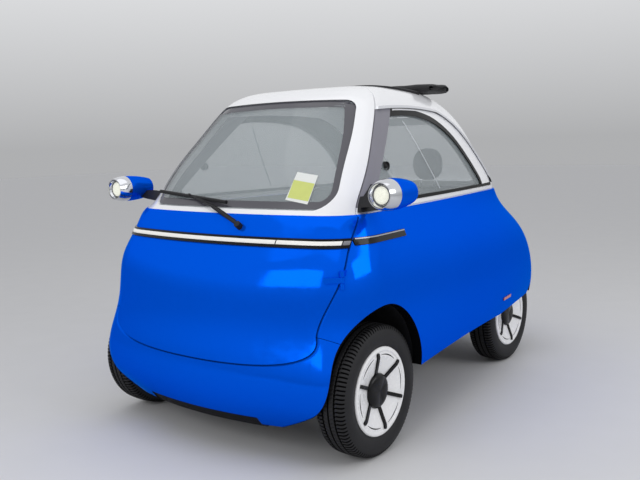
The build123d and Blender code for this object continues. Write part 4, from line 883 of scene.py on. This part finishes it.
def make_window_details():
    tree, frames = node_tree("side_glass"), node_tree("side_frames")
    for side, word in SIDES:
        verts = []
        for i in range(PANE_STEPS + 1):
            u = i / PANE_STEPS
            for shift in (-PANE_HALF, PANE_HALF):
                y, z = PANE_TOP_Y + PANE_RUN * u + shift, PANE_TOP_Z - PANE_DROP * u
                verts.append(on_side(tree, side, y, z, PANE_PROUD))
        piece(f"pane_edge_{word}", verts, grid_faces(PANE_STEPS + 1, 2), pane_line, "body")
        spot = on_side(tree, side, KNOB_Y, KNOB_Z, 0.0)
        rod(f"window_knob_{word}", spot - Vector((side * KNOB_IN, 0, 0)),
            spot + Vector((side * KNOB_OUT, 0, 0)), KNOB_RADIUS, finish["black_plastic"], "body",
            28)
        frame_cap(frames, side, word)


# ---- wiper, tail and grille details ----
WIPER_PIVOT, WIPER_ELBOW, WIPER_TIP = (
    Vector(p) for p in ((0.143, -1.060, 0.914), (-0.046, -1.011, 0.978), (-0.235, -0.951, 1.016)))
WIPER_LIFT, WIPER_NORMAL = 0.0182, Vector((0, -0.78, 0.62)).normalized()
LINE_ASIDE, LINE_RADIUS, LINE_FROM, LINE_TO, LINE_END_ASIDE = 0.0095, 0.0024, 0.14, 0.7, 0.6
HOOK_RADIUS, HOOK_LENGTH, HOOK_FOOT, HOOK_RISE = 0.0045, 0.014, 0.002, 0.012
TAIL_REACH, TAIL_STEPS = 0.385, 80
TAIL_ROWS = ((0.7085, 0.0), (0.7105, 0.0012), (0.7215, 0.0012), (0.7235, 0.0))  # z, proud
RIBS, RIB_REACH, RIB_HALF, RIB_IN, RIB_OUT = 58, 0.300, 0.002, 0.001, 0.006
RIB_ROWS = (0.130, 0.152, 0.176)


def make_wiper_rods():
    """Washer line beside the wiper's arm and the hook that holds its blade."""
    pivot, elbow, tip = (p + WIPER_NORMAL * WIPER_LIFT
                         for p in (WIPER_PIVOT, WIPER_ELBOW, WIPER_TIP))
    aside = WIPER_NORMAL.cross(elbow - pivot).normalized() * -LINE_ASIDE
    rod("wiper_line_lower", pivot.lerp(elbow, LINE_FROM) + aside, elbow + aside, LINE_RADIUS,
        finish["black_plastic"], "front_door", 12)
    line_end = elbow.lerp(tip, LINE_TO) + aside * LINE_END_ASIDE
    rod("wiper_line_upper", elbow + aside, line_end, LINE_RADIUS,
        finish["black_plastic"], "front_door", 12)
    hook_end = tip + WIPER_NORMAL * HOOK_RISE + (tip - elbow).normalized() * HOOK_LENGTH
    rod("wiper_hook", tip + WIPER_NORMAL * HOOK_FOOT, hook_end, HOOK_RADIUS,
        finish["black_plastic"], "front_door", 16)


def make_tail_strip():
    """Red lens along the tail light bar."""
    tree = node_tree("tail_light_bar")
    verts = []
    for i in range(TAIL_STEPS + 1):
        x = -TAIL_REACH + 2 * TAIL_REACH * i / TAIL_STEPS
        row = [tree.ray_cast(Vector((x, RAY_START, z)), Vector((0, -1, 0)))[0]
               for z, lift in TAIL_ROWS]
        verts += [hit + Vector((0, lift, 0)) for hit, (z, lift) in zip(row, TAIL_ROWS)]
    piece("tail_strip", verts, grid_faces(TAIL_STEPS + 1, len(TAIL_ROWS)), finish["red_lens"],
          "body")


def make_grille_ribs():
    """Upright ribs over the front's lower insert."""
    tree = node_tree("front_grille")
    verts, faces = [], []
    for i in range(RIBS):
        x = -RIB_REACH + 2 * RIB_REACH * i / (RIBS - 1)
        spots = [on_front(tree, x + dx, z, 0.0) for z in RIB_ROWS for dx in (-RIB_HALF, RIB_HALF)]
        base = len(verts)
        for spot in spots:
            verts.append(spot + Vector((0, RIB_IN, 0)))
            verts.append(spot + Vector((0, -RIB_OUT, 0)))
        for k in range(len(RIB_ROWS) - 1):
            a = base + 4 * k
            faces += [(a + 1, a + 3, a + 7, a + 5), (a, a + 1, a + 5, a + 4),
                      (a + 3, a + 2, a + 6, a + 7)]
    piece("grille_ribs", verts, faces, finish["black_plastic"], "body",
          smooth=False)


# ---- floor, light and sky ----
FLOOR_REACH = 30
SKY_COLOUR = (0.97, 0.98, 1.0, 1)
# The height in the sky where a ramp ends, then its strength at the horizon and from there up.
SKY_LIGHTING = (0.7, 0.47, 0.62)
SKY_BACKDROP = (0.25, 0.44, 0.84)
LAMPS = (
    # name, place, target, size, watts
    ("top_box", (0.2, -1.2, 4.4), (0, -0.2, 0.6), (4.5, 4.5), 32),
    ("nose_box", (0.2, -5.2, 2.6), (0, -0.8, 0.7), (3.4, 2.0), 48),
    ("side_box", (5.2, 0.2, 3.0), (0, 0.0, 0.9), (3.6, 2.0), 66))


def make_stage():
    r = FLOOR_REACH
    mesh = bpy.data.meshes.new("floor")
    mesh.from_pydata([(-r, -r, 0), (r, -r, 0), (r, r, 0), (-r, r, 0)], [], [(0, 1, 2, 3)])
    floor = bpy.data.objects.new("floor", mesh)
    scene.collection.objects.link(floor)
    mesh.materials.append(surface("floor", (0.70, 0.70, 0.71), 0.8, vary=0.02, bump=0.02,
                                  gloss_level=0.1))


def area_light(name, place, target, size, power):
    data = bpy.data.lights.new(name, "AREA")
    data.shape = "RECTANGLE"
    data.size, data.size_y = size
    data.energy = power
    light = bpy.data.objects.new(name, data)
    light.location = place
    light.rotation_euler = (Vector(target) - Vector(place)).to_track_quat("-Z", "Y").to_euler()
    scene.collection.objects.link(light)


def make_light():
    """Camera, glossy and transmission rays see the backdrop, all others the lighting."""
    world = bpy.data.worlds.new("sky")
    world.use_nodes = True
    nt = world.node_tree
    background = nt.nodes["Background"]
    background.inputs["Color"].default_value = SKY_COLOUR
    height = split_place(nt, nt.nodes.new("ShaderNodeTexCoord").outputs["Generated"])["Z"]
    rays = nt.nodes.new("ShaderNodeLightPath").outputs
    seen = math_node(nt, "MAXIMUM", rays["Is Camera Ray"],
                     math_node(nt, "MAXIMUM", rays["Is Glossy Ray"], rays["Is Transmission Ray"]))
    lighting = ramp(nt, height, 0.0, *SKY_LIGHTING)
    backdrop = ramp(nt, height, 0.0, *SKY_BACKDROP)
    rest = math_node(nt, "MULTIPLY", lighting, math_node(nt, "SUBTRACT", 1.0, seen))
    strength = math_node(nt, "ADD", rest, math_node(nt, "MULTIPLY", backdrop, seen))
    nt.links.new(strength, background.inputs["Strength"])
    scene.world = world
    for lamp in LAMPS:
        area_light(*lamp)


make_camera()
dress_nodes()
for wheel, (side, x, y) in WHEELS.items():
    make_tyre(wheel, side, x, y)
    paint_slot_shade(wheel, side, x, y)
    cover_ring(wheel, side, x, y)
    hub_cap(wheel, side, x, y)
make_light_bar()
make_badge_edges()
make_lamps()
make_screen_border()
make_slip()
make_seats()
make_folded_roof()
make_window_details()
make_wiper_rods()
make_tail_strip()
make_grille_ribs()
make_stage()
make_light()
scene.view_settings.view_transform = "Standard"
